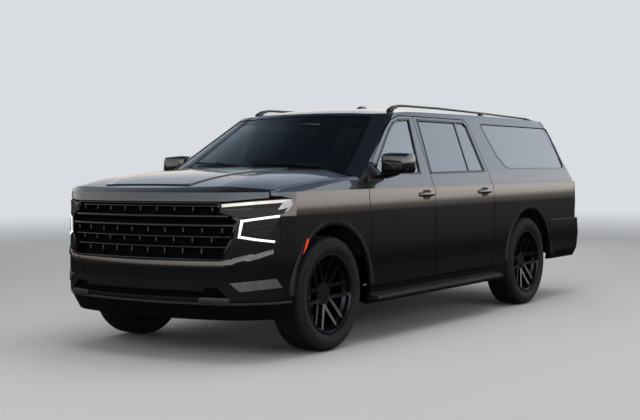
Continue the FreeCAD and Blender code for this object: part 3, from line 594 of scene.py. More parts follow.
# Tyres: a closed section spun about the axle, with four grooves and cross cuts in its ribs
tyre = {"x": 1893.5, "z": 417.0, "y": 868.0, "wheelbase": 3406, "steps": 200, "cut": 7.0, "tread": 411, "cutEvery": 5,
        "shoulder": (60, 99), "rib": (25, 51),
        "inner": ((-92, 298), (-112, 342), (-104, 386), (-80, 400), (80, 400), (104, 386), (112, 342), (92, 298)),
        "half": ((98, 284), (112, 281), (113.5, 296), (121, 303), (130, 320), (135.5, 338), (137, 350), (136, 362),
                 (133.5, 364), (132.5, 376), (129, 378), (126, 390), (119, 401), (111, 408), (100, 412.5), (96, 413.8),
                 (66, 415.4), (64, 407.5), (54, 407.5), (52, 416), (24, 416.8), (22, 408.5), (12, 408.5), (10, 417))}
outside = [Vector((tyre["x"], tyre["y"] + y, tyre["z"] + r)) for y, r in tyre["half"]]
inside = [Vector((tyre["x"], tyre["y"] + y, tyre["z"] + r)) for y, r in tyre["inner"]]
mirroredHalf = [Vector((p.x, 2 * tyre["y"] - p.y, p.z)) for p in reversed(outside)]
tyrePiece = drawLine("tyreFrontLeft", outside + mirroredHalf + inside + outside[:1])
spinRound(tyre["x"], tyre["z"], tyre["steps"])
bpy.ops.mesh.normals_make_consistent(inside=False)


def treadCut(centre, normal):  # the faces that the cross cuts take out of the tread's ribs
    reach = math.hypot(centre.x - tyre["x"], centre.z - tyre["z"])
    sideways = abs(centre.y - tyre["y"])
    step = round(math.atan2(centre.z - tyre["z"], centre.x - tyre["x"]) / (2 * math.pi) * tyre["steps"] - 0.5)
    shoulder = tyre["shoulder"][0] < sideways < tyre["shoulder"][1] and step % tyre["cutEvery"] == 0
    rib = tyre["rib"][0] < sideways < tyre["rib"][1] and step % tyre["cutEvery"] == 2
    return reach > tyre["tread"] and (shoulder or rib)


pick(tyrePiece, "FACE", treadCut)
bpy.ops.mesh.extrude_region_shrink_fatten(TRANSFORM_OT_shrink_fatten={"value": -tyre["cut"] * mm})
finish(tyrePiece, "curedTyreRubber", "wheel_front_left", "tyre_rubber", ["tyre_front_left"], 28)
for end, side, step in (("Rear", "Left", (-tyre["wheelbase"], 0, 0)), ("Front", "Right", (0, -2 * tyre["y"], 0)),
                        ("Rear", "Right", (-tyre["wheelbase"], -2 * tyre["y"], 0))):
    place = f"{end}_{side}".lower()
    copyPiece(tyrePiece, "tyre" + end + side, "wheel_" + place, step, replaced=["tyre_" + place])
print("tyres done")

# Raised patches: gaps for welding and cutting in mm, and how far a kept face looks outwards
raised = {"weld": 0.02, "cut": 0.01, "facing": 0.25}


def patch(name, source, outline, view, lift, thick):
    # A raised patch that follows a CAD surface on the left. Its convex outline, in mm, is seen from the front or
    # rear (y, z), the side (x, z) or the top (x, y). From the top it may cross the middle.
    copy = duplicate(nodes[source], name)
    copy.hide_render = copy.hide_viewport = False
    edit(copy)
    selectAll()
    bpy.ops.mesh.customdata_custom_splitnormals_clear()
    bpy.ops.mesh.remove_doubles(threshold=raised["weld"] * mm)
    spread = {"side": lambda a, b: (a, 0, b), "top": lambda a, b: (a, b, 0)}.get(view, lambda a, b: (0, a, b))
    viewAxis = {"side": Vector((0, 1, 0)), "top": Vector((0, 0, 1))}.get(view, Vector((1, 0, 0)))
    facing = {"side": Vector((0, 1, 0)), "top": Vector((0, 0, 1)), "front": Vector((0.6, 0.8, 0)),
              "rear": Vector((-0.6, 0.8, 0))}[view]
    corners = [Vector(spread(a, b)) for a, b in outline]
    middle = sum(corners, Vector()) / len(corners)
    cuts = []
    for a, b in zip(corners, corners[1:] + corners[:1]):
        away = viewAxis.cross(b - a)
        if away.dot(middle - a) > 0:
            away.negate()
        cuts.append((a, away.normalized()))
    if view != "top":
        cuts.append((Vector((0, 0, 0)), Vector((0, -1, 0))))
    for a, away in cuts:
        selectAll()
        if not bmesh.from_edit_mesh(copy.data).verts:
            break
        bpy.ops.mesh.bisect(plane_co=a * mm, plane_no=away, clear_outer=True, threshold=raised["cut"] * mm)
    pick(copy, "FACE", lambda centre, normal: normal.dot(facing) < raised["facing"])
    bpy.ops.mesh.delete(type="FACE")
    selectAll()
    bpy.ops.transform.shrink_fatten(value=lift * mm)
    bpy.ops.mesh.extrude_region_shrink_fatten(TRANSFORM_OT_shrink_fatten={"value": thick * mm})
    bpy.ops.object.mode_set(mode="OBJECT")
    return copy


def run(a, b, half):  # a straight strip between two points, as four corners
    dx, dy = b[0] - a[0], b[1] - a[1]
    size = math.hypot(dx, dy)
    ux, uy = dx / size * half, dy / size * half
    return [(a[0] - ux - uy, a[1] - uy + ux), (b[0] + ux - uy, b[1] + uy + ux),
            (b[0] + ux + uy, b[1] + uy - ux), (a[0] - ux + uy, a[1] - uy - ux)]


def join(name, pieces):
    bpy.ops.object.mode_set(mode="OBJECT")
    bpy.ops.object.select_all(action="DESELECT")
    for piece in pieces:
        piece.select_set(True)
    bpy.context.view_layer.objects.active = pieces[0]
    bpy.ops.object.join()
    pieces[0].name = name
    return pieces[0]


def trace(name, source, line, half, view, lift, thick):  # a line of strips on a CAD surface
    return join(name, [patch(name + "Run", source, run(a, b, half), view, lift, thick) for a, b in zip(line, line[1:])])


# Front lamps: a white guide bent round the lamp, bright bars along its top, and dark fins behind
lamp = {"guide": ((1026, 1076), (996, 1004), (808, 972), (790, 866), (955, 830)), "guideHalf": 8, "guideThick": 4,
        "bar": ((690, 1076), (1004, 1104)), "barHalf": 10, "barThick": 4,
        "lowBar": ((692, 1046), (860, 1056)), "lowBarHalf": 3, "lowBarThick": 3,
        "fins": (((700, 1060), (980, 1086), (980, 1062), (700, 1048)), ((830, 960), (985, 990), (960, 930), (830, 915)),
                 ((830, 905), (960, 920), (930, 860), (840, 880))), "finLift": 0.4, "finThick": 1.5}
for name, key, material in (("lightGuideLeft", "guide", "frostedLightGuide"), ("lampBarLeft", "bar", "brightChrome"),
                            ("lampLowBarLeft", "lowBar", "blackChrome")):
    strip = trace(name, "headlamps", lamp[key], lamp[key + "Half"], "front", 1, lamp[key + "Thick"])
    both(strip, material, "body", "lamp_clear")
fins = [patch("lampFinRun", "headlamps", outline, "front", lamp["finLift"], lamp["finThick"])
        for outline in lamp["fins"]]
both(join("lampFinLeft", fins), "satinBlackAbs", "body", "lamp_clear")

# Front bumper: satin grey bezels round the lower lamps, tow hook covers and a strip along the chin
bumper = {"bezel": ((738, 552), (968, 576), (986, 514), (800, 494)), "bezelThick": 6,
          "hook": ((528, 452), (735, 450), (742, 418), (528, 421)), "hookThick": 8, "round": 2,
          "chin": ((0, 404), (1030, 404), (1030, 415), (0, 415)), "chinThick": 5,
          "marker": ((2232, 850), (2212, 850), (2284, 700), (2304, 700)), "markerThick": 5}
for name, key in (("bumperBezelLeft", "bezel"), ("towHookCoverLeft", "hook")):
    cover = finish(patch(name, "front_bumper", bumper[key], "front", 1, bumper[key + "Thick"]), "satinGreyTrim", "body",
                   "body_paint")
    bevelEdges(cover, bumper["round"])
    copyPiece(cover, name.replace("Left", "Right"), "body", flip=True)
chin = patch("chinStripLeft", "front_bumper", bumper["chin"], "front", 1, bumper["chinThick"])
both(chin, "satinGreyTrim", "body", "body_paint")

# Amber markers ahead of the front wheels
marker = patch("sideMarkerLeft", "front_bumper", bumper["marker"], "side", 1, bumper["markerThick"])
both(marker, "amberAcrylic", "body", "lamp_clear")
print("front lamps and bumper trim done")

# Window surrounds: a black moulding that follows each opening of the doors
surround = {"half": 9, "lift": 0.6, "thick": 2.5, "offset": 7,
            "front": ((540, 1284), (1222, 1290), (1180, 1330), (800, 1612), (690, 1676), (590, 1706), (420, 1714)),
            "rear": ((-640, 1292), (340, 1284), (300, 1500), (262, 1714), (-560, 1710), (-600, 1680)),
            "quarter": ((-1010, 1420), (-1120, 1322), (-1180, 1308), (-2440, 1304), (-2486, 1330), (-2440, 1660),
                        (-2395, 1700), (-2330, 1708), (-930, 1716), (-900, 1700))}


def outwards(points, gap):  # each corner of an outline moved away from its middle along its two sides
    result = []
    for before, here, after in zip(points[-1:] + points[:-1], points, points[1:] + points[:1]):
        a, b, c = Vector(before), Vector(here), Vector(after)
        first, second = (b - a).normalized(), (c - b).normalized()
        push = Vector((first.y + second.y, -first.x - second.x)).normalized()
        result.append(tuple(b + push * gap / max(0.4, push.dot(Vector((first.y, -first.x))))))
    return result


def windowMoulding(end, source, body):
    ring = outwards(surround[end], surround["offset"])
    moulding = trace(end + "WindowMouldingLeft", source, ring + ring[:1], surround["half"], "side", surround["lift"],
                     surround["thick"])
    both(moulding, "glossBlackAbs", body, "trim_black")


for end in ("front", "rear"):
    windowMoulding(end, f"door_{end}_left", f"door_{end}_left")
print("window surrounds done")

# Mirrors: a rounded head on an arm, with a black skirt, silvered glass and a foot in the window's corner
mirror = {"back": 1072, "rows": ((1150, 1.0), (1184, 0.93), (1200, 0.8), (1207, 0.62)), "middle": (1106, 1358),
          "line": ((986, 1306), (994, 1286), (1014, 1278), (1212, 1282), (1229, 1290), (1237, 1308), (1234, 1404),
                   (1226, 1424), (1206, 1434), (1030, 1439), (1000, 1432), (988, 1412)),
          "skirt": ((990, 1300), (1000, 1277), (1212, 1280), (1232, 1296), (1236, 1318), (990, 1318)), "skirtDepth": 118,
          "skirtTaper": (1, 0.96, 0.9), "skirtMiddle": (1190, 1106, 1300), "glassSize": (0.88, 0.84), "armTip": 1000,
          "arm": ((960, 1236), (1010, 1240), (1092, 1262), (1130, 1284), (1060, 1288), (996, 1266), (960, 1262)),
          "armAt": 1092, "armDepth": 92, "armSweep": 90,
          "foot": ((1168, 1222), (1372, 1222), (1366, 1296), (1300, 1352), (1262, 1352), (1168, 1286)), "footThick": 9}
head = drawLine("mirrorHeadLeft", [(mirror["back"], y, z) for y, z in mirror["line"]], closed=True)
x, grown = mirror["back"], 1.0
for rowX, size in mirror["rows"]:
    extrude((rowX - x, 0, 0))
    centre = Vector((rowX, *mirror["middle"])) * mm
    bpy.ops.transform.resize(value=(1, size / grown, size / grown), center_override=centre)
    x, grown = rowX, size
bpy.ops.object.mode_set(mode="OBJECT")
bevelEdges(head, 5, 3, 30)
both(head, "paint", "door_front_left", "body_paint", ["mirror_left"], ["mirror_right"], 40)
skirt = slab("mirrorSkirtLeft", [(mirror["back"] - 2, y, z) for y, z in mirror["skirt"]],
             (mirror["skirtDepth"], 0, 0), 3)
edit(skirt)
pick(skirt, "VERT", lambda at, normal: at.x > mirror["back"] + mirror["skirtDepth"] / 2)
bpy.ops.transform.resize(value=mirror["skirtTaper"], center_override=Vector(mirror["skirtMiddle"]) * mm)
both(skirt, "satinBlackAbs", "door_front_left", "trim_black")
(middleY, middleZ), (wide, high) = mirror["middle"], mirror["glassSize"]
line = [(mirror["back"] - 1.5, middleY + (y - middleY) * wide, middleZ + (z - middleZ) * high)
        for y, z in mirror["line"]]
pane = drawLine("mirrorGlassLeft", line, closed=True)
extrude((-2, 0, 0))
both(pane, "silveredGlass", "door_front_left", "trim_black")
arm = slab("mirrorArmLeft", [(mirror["armAt"], y, z) for y, z in mirror["arm"]], (mirror["armDepth"], 0, 0), 6, 3)
edit(arm)
pick(arm, "VERT", lambda at, normal: at.y < mirror["armTip"])
bpy.ops.transform.translate(value=(mirror["armSweep"] * mm, 0, 0))
both(arm, "satinBlackAbs", "door_front_left", "trim_black")
sail = slab("mirrorFootLeft", [(x, sideAt(z) - 1, z) for x, z in mirror["foot"]], (0, mirror["footThick"], 0), 2.5)
both(sail, "satinBlackAbs", "door_front_left", "trim_black")
print("mirrors done")

# Roof rails: a flat extruded bar that rises from its front foot, over a long open gap
rail = {"line": ((560, 1786), (552, 1806), (484, 1836), (400, 1849), (300, 1852), (-300, 1852), (-1200, 1836),
                 (-2120, 1815), (-2230, 1806), (-2330, 1786), (-2366, 1770)),
        "under": ((-2340, 1764), (-2240, 1788), (-2120, 1797), (-1200, 1818), (-300, 1833), (300, 1833), (400, 1828),
                  (470, 1806), (500, 1786)),
        "foot": ((-1180, 1822), (-1120, 1822), (-1110, 1786), (-1190, 1786)), "footInset": 4, "inner": 664, "width": 34}
roofRail = slab("roofRailLeft", [(x, rail["inner"], z) for x, z in rail["line"] + rail["under"]], (0, rail["width"], 0),
                6, 3)
both(roofRail, "glossBlackAbs", "body", "trim_black", ["roof_rails"])
railFoot = slab("roofRailFootLeft", [(x, rail["inner"] + rail["footInset"], z) for x, z in rail["foot"]],
                (0, rail["width"] - 2 * rail["footInset"], 0), 3)
both(railFoot, "satinBlackAbs", "body", "trim_black")

# Aerial fin: a moulded blade with a swept front
fin = {"base": ((24, 0), (-40, 24), (-190, 30), (-228, 20), (-228, -20), (-190, -30), (-40, -24)), "z": 1828,
       "middle": -150, "rows": ((1846, 0.9), (1862, 0.6), (1878, 0.34))}
blade = drawLine("aerialFin", [(x, y, fin["z"]) for x, y in fin["base"]], closed=True)
z, grown = fin["z"], 1.0
for rowZ, size in fin["rows"]:
    extrude((0, 0, rowZ - z))
    bpy.ops.transform.resize(value=(size / grown, size / grown, 1),
                             center_override=Vector((fin["middle"], 0, rowZ)) * mm)
    z, grown = rowZ, size
bpy.ops.object.mode_set(mode="OBJECT")
bevelEdges(blade, 3, 3, 25)
finish(blade, "paint", "body", "body_paint", angle=60)

# Door handles: a bowed pull on two feet over a dished cup. The bows go in from an end and out from the door
handle = {"front": 520, "rear": -540, "half": 120, "z": 1103, "low": 15, "tall": 32,
          "cup": ((-72, 1085), (-44, 1062), (44, 1062), (72, 1085), (72, 1122), (44, 1140), (-44, 1140), (-72, 1122)),
          "bow": ((0, 0), (6, 20), (40, 30), (120, 34)), "underBow": ((34, 0), (46, 17), (120, 21))}
for end in ("front", "rear"):
    middle, body = handle[end], f"door_{end}_left"
    cup = patch(end + "HandleCupLeft", body, [(middle + x, z) for x, z in handle["cup"]], "side", 0.3, 1.2)
    both(cup, "satinBlackAbs", body, "trim_black")
    left, right, y = middle - handle["half"], middle + handle["half"], sideAt(handle["z"])
    bow, under = handle["bow"], handle["underBow"]
    plan = [(left + x, y + out) for x, out in bow] + [(right - x, y + out) for x, out in bow[-2::-1]]
    plan += [(right - x, y + out) for x, out in under] + [(left + x, y + out) for x, out in under[-2::-1]]
    pull = slab(end + "HandleLeft", [(x, out, handle["z"] - handle["low"]) for x, out in plan], (0, 0, handle["tall"]),
                6, 3)
    both(pull, "paint", body, "body_paint", angle=50)
print("rails, fin and handles done")

# Wheel arch lips: a rolled black edge round each opening, swept as a ring and cut off at the sill
arch = {"front": 1893.5, "rear": -1512.5, "axle": 417, "low": 452, "steps": 96,
        "section": ((1004, 500), (1025, 500), (1029, 508), (1028, 538), (1023, 545), (1004, 545), (1004, 500))}
for end in ("front", "rear"):
    lip = drawLine(end + "ArchLipLeft", [(arch[end], y, arch["axle"] + r) for y, r in arch["section"]])
    spinRound(arch[end], arch["axle"], arch["steps"])
    selectAll()
    bpy.ops.mesh.bisect(plane_co=(0, 0, arch["low"] * mm), plane_no=(0, 0, -1), clear_outer=True, use_fill=True)
    both(lip, "satinBlackAbs", "body", "body_paint", angle=30)
print("wheel arch lips done")

# Front end: its surface bends back towards the corners, so bars follow it from side to side
nose = {"x": 2848, "z": 700, "lean": -0.056, "step": 60,
        "bend": ((0, 0), (170, -5), (340, -21), (510, -46), (600, -62), (680, -82), (760, -117), (850, -177),
                 (900, -225))}


def noseAt(y, z):  # x of the nose at a place across it and a height, in mm
    y = min(abs(y), nose["bend"][-1][0] - 1)
    for (y0, x0), (y1, x1) in zip(nose["bend"], nose["bend"][1:]):
        if y <= y1:
            return nose["x"] + nose["lean"] * (z - nose["z"]) + x0 + (x1 - x0) * (y - y0) / (y1 - y0)


def noseBar(name, y0, y1, z0, z1, lift, depth, bevel=0.0):  # a bar that follows the nose
    count = max(1, round(abs(y1 - y0) / nose["step"]))
    across = [y0 + (y1 - y0) * k / count for k in range(count + 1)]
    piece = drawLine(name, [(noseAt(y, z0) + lift, y, z0) for y in across])
    sweep((nose["lean"] * (z1 - z0), 0, z1 - z0), (-depth, 0, 0))
    selectAll()
    bpy.ops.mesh.normals_make_consistent(inside=False)
    bpy.ops.object.mode_set(mode="OBJECT")
    if bevel:
        bevelEdges(piece, bevel)
    return piece


# Grille: a frame, two wide bars, and staggered cells above and below them, with closed shutters behind. Each place is
# how far a bar stands off the nose, how deep it goes and its easing
grille = {"outline": ((668, 1097), (660, 1034), (762, 998), (778, 960), (754, 850), (690, 712)), "frame": 15, "lip": 2,
          "deep": 26, "edges": ((1086, 1098, 668), (700, 714, 690)), "edgeEase": 2,
          "rails": (1072, 861, 791), "rail": 6, "railPlace": (-14, 24, 1.5), "railGap": 6,
          "rows": ((1072, 1097, 1), (1009, 1072, 0), (861, 925, 1), (791, 861, 0), (700, 791, 1)), "cell": 150,
          "ribPlace": (-15, 22, 1.5), "ribGap": 16,
          "bars": ((989, 1012), (926, 949)), "barPlace": (-3, 30, 4), "barGap": 4, "top": 1097, "sideEase": 1.5,
          "shutter": 36, "shutters": (704, 1090), "shutterSlot": 2, "shutterBack": -62, "shutterShift": 4,
          "shutterThick": 4}


def grilleHalf(z):  # half width of the grille's opening at a height
    for (y1, z1), (y0, z0) in zip(grille["outline"], grille["outline"][1:]):
        if z >= z0:
            return y0 + (y1 - y0) * (min(z, z1) - z0) / (z1 - z0)
    return grille["outline"][-1][0]


web = []
for z in grille["rails"]:
    half = min(grilleHalf(z - grille["rail"]), grilleHalf(z + grille["rail"])) - grille["railGap"]
    web.append(noseBar("grilleRail", -half, half, z - grille["rail"], z + grille["rail"], *grille["railPlace"]))
for low, high, shifted in grille["rows"]:
    y = grille["cell"] / 2 if shifted else 0
    while y < min(grilleHalf(low), grilleHalf(high)) - grille["ribGap"]:
        for side in (1, -1) if y else (1,):
            web.append(noseBar("grilleRib", side * y - grille["rail"], side * y + grille["rail"], low, high,
                               *grille["ribPlace"]))
        y += grille["cell"]
finish(join("grilleWeb", web), "glossBlackAbs", "body", "grille_black", replaced=("grille",), angle=30)
for number, (low, high) in enumerate(grille["bars"]):
    half = min(grilleHalf(low), grilleHalf(high)) - grille["barGap"]
    finish(noseBar(f"grilleBar{number + 1}", -half, half, low, high, *grille["barPlace"]), "glossBlackAbs", "body",
           "grille_black")
edges = []
for side in (1, -1):
    for (ya, za), (yb, zb) in zip(grille["outline"], grille["outline"][1:]):
        corners = [(noseAt(y, z) + grille["lip"], side * y, z)
                   for y, z in ((ya, za), (yb, zb), (yb - grille["frame"], zb), (ya - grille["frame"], za))]
        edges.append(slab("grilleSide", corners, (-grille["deep"], 0, 0), grille["sideEase"]))
for low, high, half in grille["edges"]:
    edges.append(noseBar("grilleEdge", -half, half, low, high, grille["lip"], grille["deep"], grille["edgeEase"]))
finish(join("grilleFrame", edges), "glossBlackAbs", "body", "grille_black")
# The shutters are near black, painted shade behind the grille's cells
shutters = []
for z in range(*grille["shutters"], grille["shutter"]):
    upper = min(z + grille["shutter"] - grille["shutterSlot"], grille["top"] - 1)
    half = min(grilleHalf(z), grilleHalf(min(z + grille["shutter"], grille["top"]))) - grille["barGap"]
    back = grille["shutterBack"] + (grille["shutterShift"] if (z // grille["shutter"]) % 2 else 0)
    shutters.append(noseBar("grilleShutter", -half, half, z, upper, back, grille["shutterThick"]))
finish(join("grilleShutters", shutters), "shutterBlack", "body", "grille_black")

# Lower intake: three slats behind the opening, and behind them a near-black screen, a sheet of painted shade for the
# intake's depth
intake = {"half": 650, "slats": ((460, 468), (482, 490), (504, 512)), "place": (-16, 20, 1.5),
          "screenHalf": 710, "screen": (446, 522), "screenPlace": (-44, 5)}
slats = [noseBar("intakeSlat", -intake["half"], intake["half"], low, high, *intake["place"])
         for low, high in intake["slats"]]
slats.append(noseBar("intakeScreen", -intake["screenHalf"], intake["screenHalf"], *intake["screen"],
                     *intake["screenPlace"]))
finish(join("intakeSlats", slats), "shutterBlack", "body", "body_paint")

# The ledge under the grille, which leans back and rises towards the fenders, in the body's paint
ledge = {"middle": ((0, 648), (690, 648), (676, 700), (0, 697)),
         "corner": ((690, 648), (956, 738), (956, 775), (676, 700)),
         "lift": 0.5, "thick": 8, "lean": 9, "turn": (683, 672), "rise": 0.31}
for name, key in (("grilleLedgeLeft", "middle"), ("bumperCornerLeft", "corner")):
    piece = patch(name, "front_bumper", ledge[key], "front", ledge["lift"], ledge["thick"])
    edit(piece)
    pick(piece, "VERT", lambda c, normal: c.z > ledge["turn"][1] + max(0, c.y - ledge["turn"][0]) * ledge["rise"])
    bpy.ops.transform.translate(value=(-ledge["lean"] * mm, 0, 0))
    both(piece, "paint", "body", "body_paint")
print("grille, intake and ledge done")

windowMoulding("quarter", "body_side_left", "body")

# Running boards: ribbed tread pads along the top
board = {"from": -780, "to": 1260, "top": 350, "pads": 3, "gap": 20, "y": 985, "half": 30, "padHigh": (-1, 2),
         "padEase": 1, "ribMargin": 14, "ribHalf": 24, "ribThick": 3, "ribHigh": (1, 4), "ribEvery": 22}
pads = []
length = (board["to"] - board["from"]) / board["pads"]
for number in range(board["pads"]):
    start = board["from"] + number * length + board["gap"]
    end = start + length - 2 * board["gap"]
    (low, high), half = board["padHigh"], board["half"]
    pads.append(block("stepPad", (start, board["y"] - half, board["top"] + low),
                      (end, board["y"] + half, board["top"] + high), board["padEase"]))
    x = start + board["ribMargin"]
    (low, high), half, thick = board["ribHigh"], board["ribHalf"], board["ribThick"]
    while x < end - board["ribMargin"]:
        pads.append(block("stepRib", (x - thick, board["y"] - half, board["top"] + low),
                          (x + thick, board["y"] + half, board["top"] + high)))
        x += board["ribEvery"]
both(join("stepPadsLeft", pads), "grainedPolypropylene", "body", "step_plastic")
print("quarter windows and running boards done")

# Filler at the front corner of each fender, over the headlamp and beside the hood
corner = {"plan": ((2474, 940), (2546, 940), (2530, 957), (2505, 975), (2474, 994)), "low": 1123, "height": 64,
          "bevel": 9, "drop": 16, "dropFrom": (962, 40)}
filler = slab("fenderCornerLeft", [(x, y, corner["low"]) for x, y in corner["plan"]], (0, 0, corner["height"]),
              corner["bevel"], 3)
edit(filler)
pick(filler, "VERT", lambda c, normal: c.z > corner["low"] + corner["dropFrom"][1] and c.y > corner["dropFrom"][0])
bpy.ops.transform.translate(value=(0, 0, -corner["drop"] * mm))
both(filler, "paint", "body", "body_paint")

# Outer end of each headlamp: a clear lens that widens upwards
lampLens = {"outline": ((972, 1044), (1030, 1062), (1036, 1104), (990, 1100)), "lift": 1, "thick": 5}
lens = patch("lampLensLeft", "headlamps", lampLens["outline"], "front", lampLens["lift"], lampLens["thick"])
both(lens, "projectorLens", "body", "lamp_clear")

# Windshield wipers: an arm and a blade on each side, parked along the bottom of the glass. A layer of a blade has its
# foot, top and half width, and offGlass is a step straight off the glass
wiper = {"glassFoot": ((0, 1601), (300, 1582), (600, 1524), (780, 1482)), "footHeight": 1330, "glassLean": -1.55,
         "clear": 6, "sides": (("Left", 640, 20), ("Right", -40, -620)), "from": 2, "to": 30, "points": 10,
         "layers": ((0, 9, 3), (9, 14, 7)), "offGlass": (0.55, 0.83), "raise": 6,
         "armFrom": (0.9, -12), "armTo": 22, "armBend": 0.3, "armOff": ((10, 0, 12), (14, 0, 18), (10, 0, 16)),
         "armWide": (-9, 0, 6), "armThick": (3, 0, 5)}


def onScreen(y, up):  # a point just off the glass, up millimetres above its bottom line
    for (y0, x0), (y1, x1) in zip(wiper["glassFoot"], wiper["glassFoot"][1:]):
        if abs(y) <= y1:
            foot = x0 + (x1 - x0) * (abs(y) - y0) / (y1 - y0)
            return foot + wiper["glassLean"] * up + wiper["clear"], y, wiper["footHeight"] + up


for name, outer, inner in wiper["sides"]:
    blade = []
    offX, offZ = wiper["offGlass"]
    for low, high, half in wiper["layers"]:
        shares = [k / wiper["points"] for k in range(wiper["points"] + 1)]
        line = [onScreen(outer + (inner - outer) * s,
                         wiper["from"] + (wiper["to"] - wiper["from"]) * s + wiper["raise"]) for s in shares]
        blade.append(drawLine("wiperBlade", [(x + low * offX, y, z + low * offZ - half) for x, y, z in line]))
        sweep((wiper["glassLean"] * half, 0, 2 * half), ((high - low) * offX, 0, (high - low) * offZ))
    share, up = wiper["armFrom"]
    start, end = Vector(onScreen(outer * share, up)), Vector(onScreen((outer + inner) / 2, wiper["armTo"]))
    line = (start, start.lerp(end, wiper["armBend"]), end)
    arm = drawLine("wiperArm", [place + Vector(off) for place, off in zip(line, wiper["armOff"])])
    sweep(wiper["armWide"], wiper["armThick"])
    finish(join("wiper" + name, blade + [arm]), "satinBlackAbs", "body", "trim_black")

# Tail: red segments in the lamps, a handle, a recess in the liftgate, a wiper, the high lamp, reflectors, a step pad
tail = {"segments": ((1180, 1236), (1112, 1168), (900, 1100)), "segmentY": (884, 1012), "lift": 0.5, "segmentThick": 2.5,
        "gate": -2790, "handle": ((-330, 1050), (330, 1050), (322, 1080), (-322, 1080)), "handleDepth": 18,
        "rimDepth": 12, "rimEase": 3, "plateSeat": (-6, -2, -268, 268, 910, 1028),
        "plateRims": ((-280, 280, 1026, 1040), (-280, 280, 898, 912), (-280, -266, 912, 1026), (266, 280, 912, 1026)),
        "reflector": ((690, 512), (880, 512), (880, 536), (690, 536)), "reflectorThick": 3,
        "step": (-2806, 11, 5, 500, 789), "stepRib": (3, 4), "highLamp": ((-2705, -180, 1752), (-2701, 180, 1766)),
        "wiperBlade": ((-2712, -20, 1318), (-2716, 380, 1306), (-2712, 380, 1320), (-2704, -20, 1334)),
        "wiperDepth": 12, "wiperHub": (-2723, 24, 1312, 20), "hubDepth": 14}
yFrom, yTo = tail["segmentY"]
segments = [patch("tailSegment", "tail_lamps", [(yFrom, low), (yTo, low), (yTo, high), (yFrom, high)], "rear",
                  tail["lift"], tail["segmentThick"])
            for low, high in tail["segments"]]
both(join("tailSegmentsLeft", segments), "redReflector", "body", "lamp_red")
pull = slab("liftgateHandle", [(tail["gate"], y, z) for y, z in tail["handle"]], (-tail["handleDepth"], 0, 0), 5, 3)
finish(pull, "glossBlackAbs", "liftgate", "trim_black")
recess = [block("plateRim", (tail["gate"] - tail["rimDepth"], y0, z0), (tail["gate"], y1, z1), tail["rimEase"])
          for y0, y1, z0, z1 in tail["plateRims"]]
x0, x1, y0, y1, z0, z1 = tail["plateSeat"]
recess.append(block("plateSeat", (tail["gate"] + x0, y0, z0), (tail["gate"] + x1, y1, z1), 1))
finish(join("numberPlateRecess", recess), "satinBlackAbs", "liftgate", "trim_black")
both(patch("rearReflectorLeft", "rear_bumper", tail["reflector"], "rear", tail["lift"], tail["reflectorThick"]),
     "redReflector", "body", "lamp_red")
(first, every, count, half, z), (wide, high) = tail["step"], tail["stepRib"]
steps = [block("bumperStepRib", (x - wide, -half, z), (x + wide, half, z + high), 1)
         for x in range(first, first + count * every, every)]
finish(join("bumperStepPad", steps), "grainedPolypropylene", "body", "trim_black")
finish(block("highBrakeLamp", *tail["highLamp"], 1), "redReflector", "liftgate", "lamp_red")
rearBlade = slab("rearWiperBlade", tail["wiperBlade"], (-tail["wiperDepth"], 0, 0), 2)
x, wide, z, high = tail["wiperHub"]
turns = [k * math.pi / 8 for k in range(16)]
hub = slab("rearWiperHub", [(x, wide * math.cos(a), z + high * math.sin(a)) for a in turns],
           (-tail["hubDepth"], 0, 0), 3)
finish(join("rearWiper", [rearBlade, hub]), "satinBlackAbs", "liftgate", "trim_black")
print("wipers and tail done")

# Cabin: a screen, a hooded cluster and vents on the dashboard, a console with an armrest, door cards and a mirror
dash = {"face": 896,
        "screens": (("dashScreen", (-240, 1000), (160, 1150), 10, 4, 3),
                    ("clusterGlass", (270, 1090), (530, 1190), 8, 3, 2)),
        "clusterHood": ((956, 240), (956, 560), (856, 548), (856, 252)), "hoodFoot": 1206, "hoodThick": 14,
        "vents": ((-760, -620, 1100), (620, 760, 1100), (-120, 120, 900)), "blades": 5, "bladeEvery": 13,
        "blade": (9, 4, 3),  # its depth, its drop to the rear and its thickness
        "ventFrame": (8, 6, 64, 11),  # its width, its height, how far it reaches over the blades, and its depth
        "console": ((60, 762), (880, 762), (880, 900), (760, 930), (480, 950), (440, 1030), (60, 1030)),
        "lid": ((64, 1031), (436, 1031), (428, 1052), (72, 1052)), "cups": ((560, -46), (560, 46)), "cupRadius": 40,
        "consoleHalf": 120, "lidHalf": 112, "cupFoot": 944, "cupHigh": 8, "cupRim": 4, "cupDeep": 7}
face = dash["face"]
for name, (y0, z0), (y1, z1), deep, ease, segments in dash["screens"]:
    finish(block(name, (face - deep, y0, z0), (face, y1, z1), ease, segments), "displayGlass", "body",
           "interior_plastic")
visor = slab("clusterHood", [(x, y, dash["hoodFoot"]) for x, y in dash["clusterHood"]], (0, 0, dash["hoodThick"]), 6, 3)
finish(visor, "softTouchVinyl", "body", "interior_plastic")
vents = []
(deep, drop, thick), (wide, tall, over, frameDeep) = dash["blade"], dash["ventFrame"]
for y0, y1, foot in dash["vents"]:
    for number in range(dash["blades"]):
        z = foot + number * dash["bladeEvery"]
        vents.append(slab("ventBlade",
                          [(face, y0, z), (face, y1, z), (face - deep, y1, z - drop), (face - deep, y0, z - drop)],
                          (0, 0, thick)))
    low, high = foot - wide, foot + over
    for a, b, c, d in ((y0 - wide, y1 + wide, low - tall, low), (y0 - wide, y1 + wide, high, high + tall),
                       (y0 - wide, y0, low, high), (y1, y1 + wide, low, high)):
        vents.append(block("ventFrame", (face - frameDeep, a, c), (face, b, d), 2))
finish(join("dashVents", vents), "satinBlackAbs", "body", "interior_plastic")
half = dash["consoleHalf"]
console = slab("centreConsole", [(x, -half, z) for x, z in dash["console"]], (0, 2 * half, 0), 14, 3)
finish(console, "softTouchVinyl", "body", "interior_plastic")
half = dash["lidHalf"]
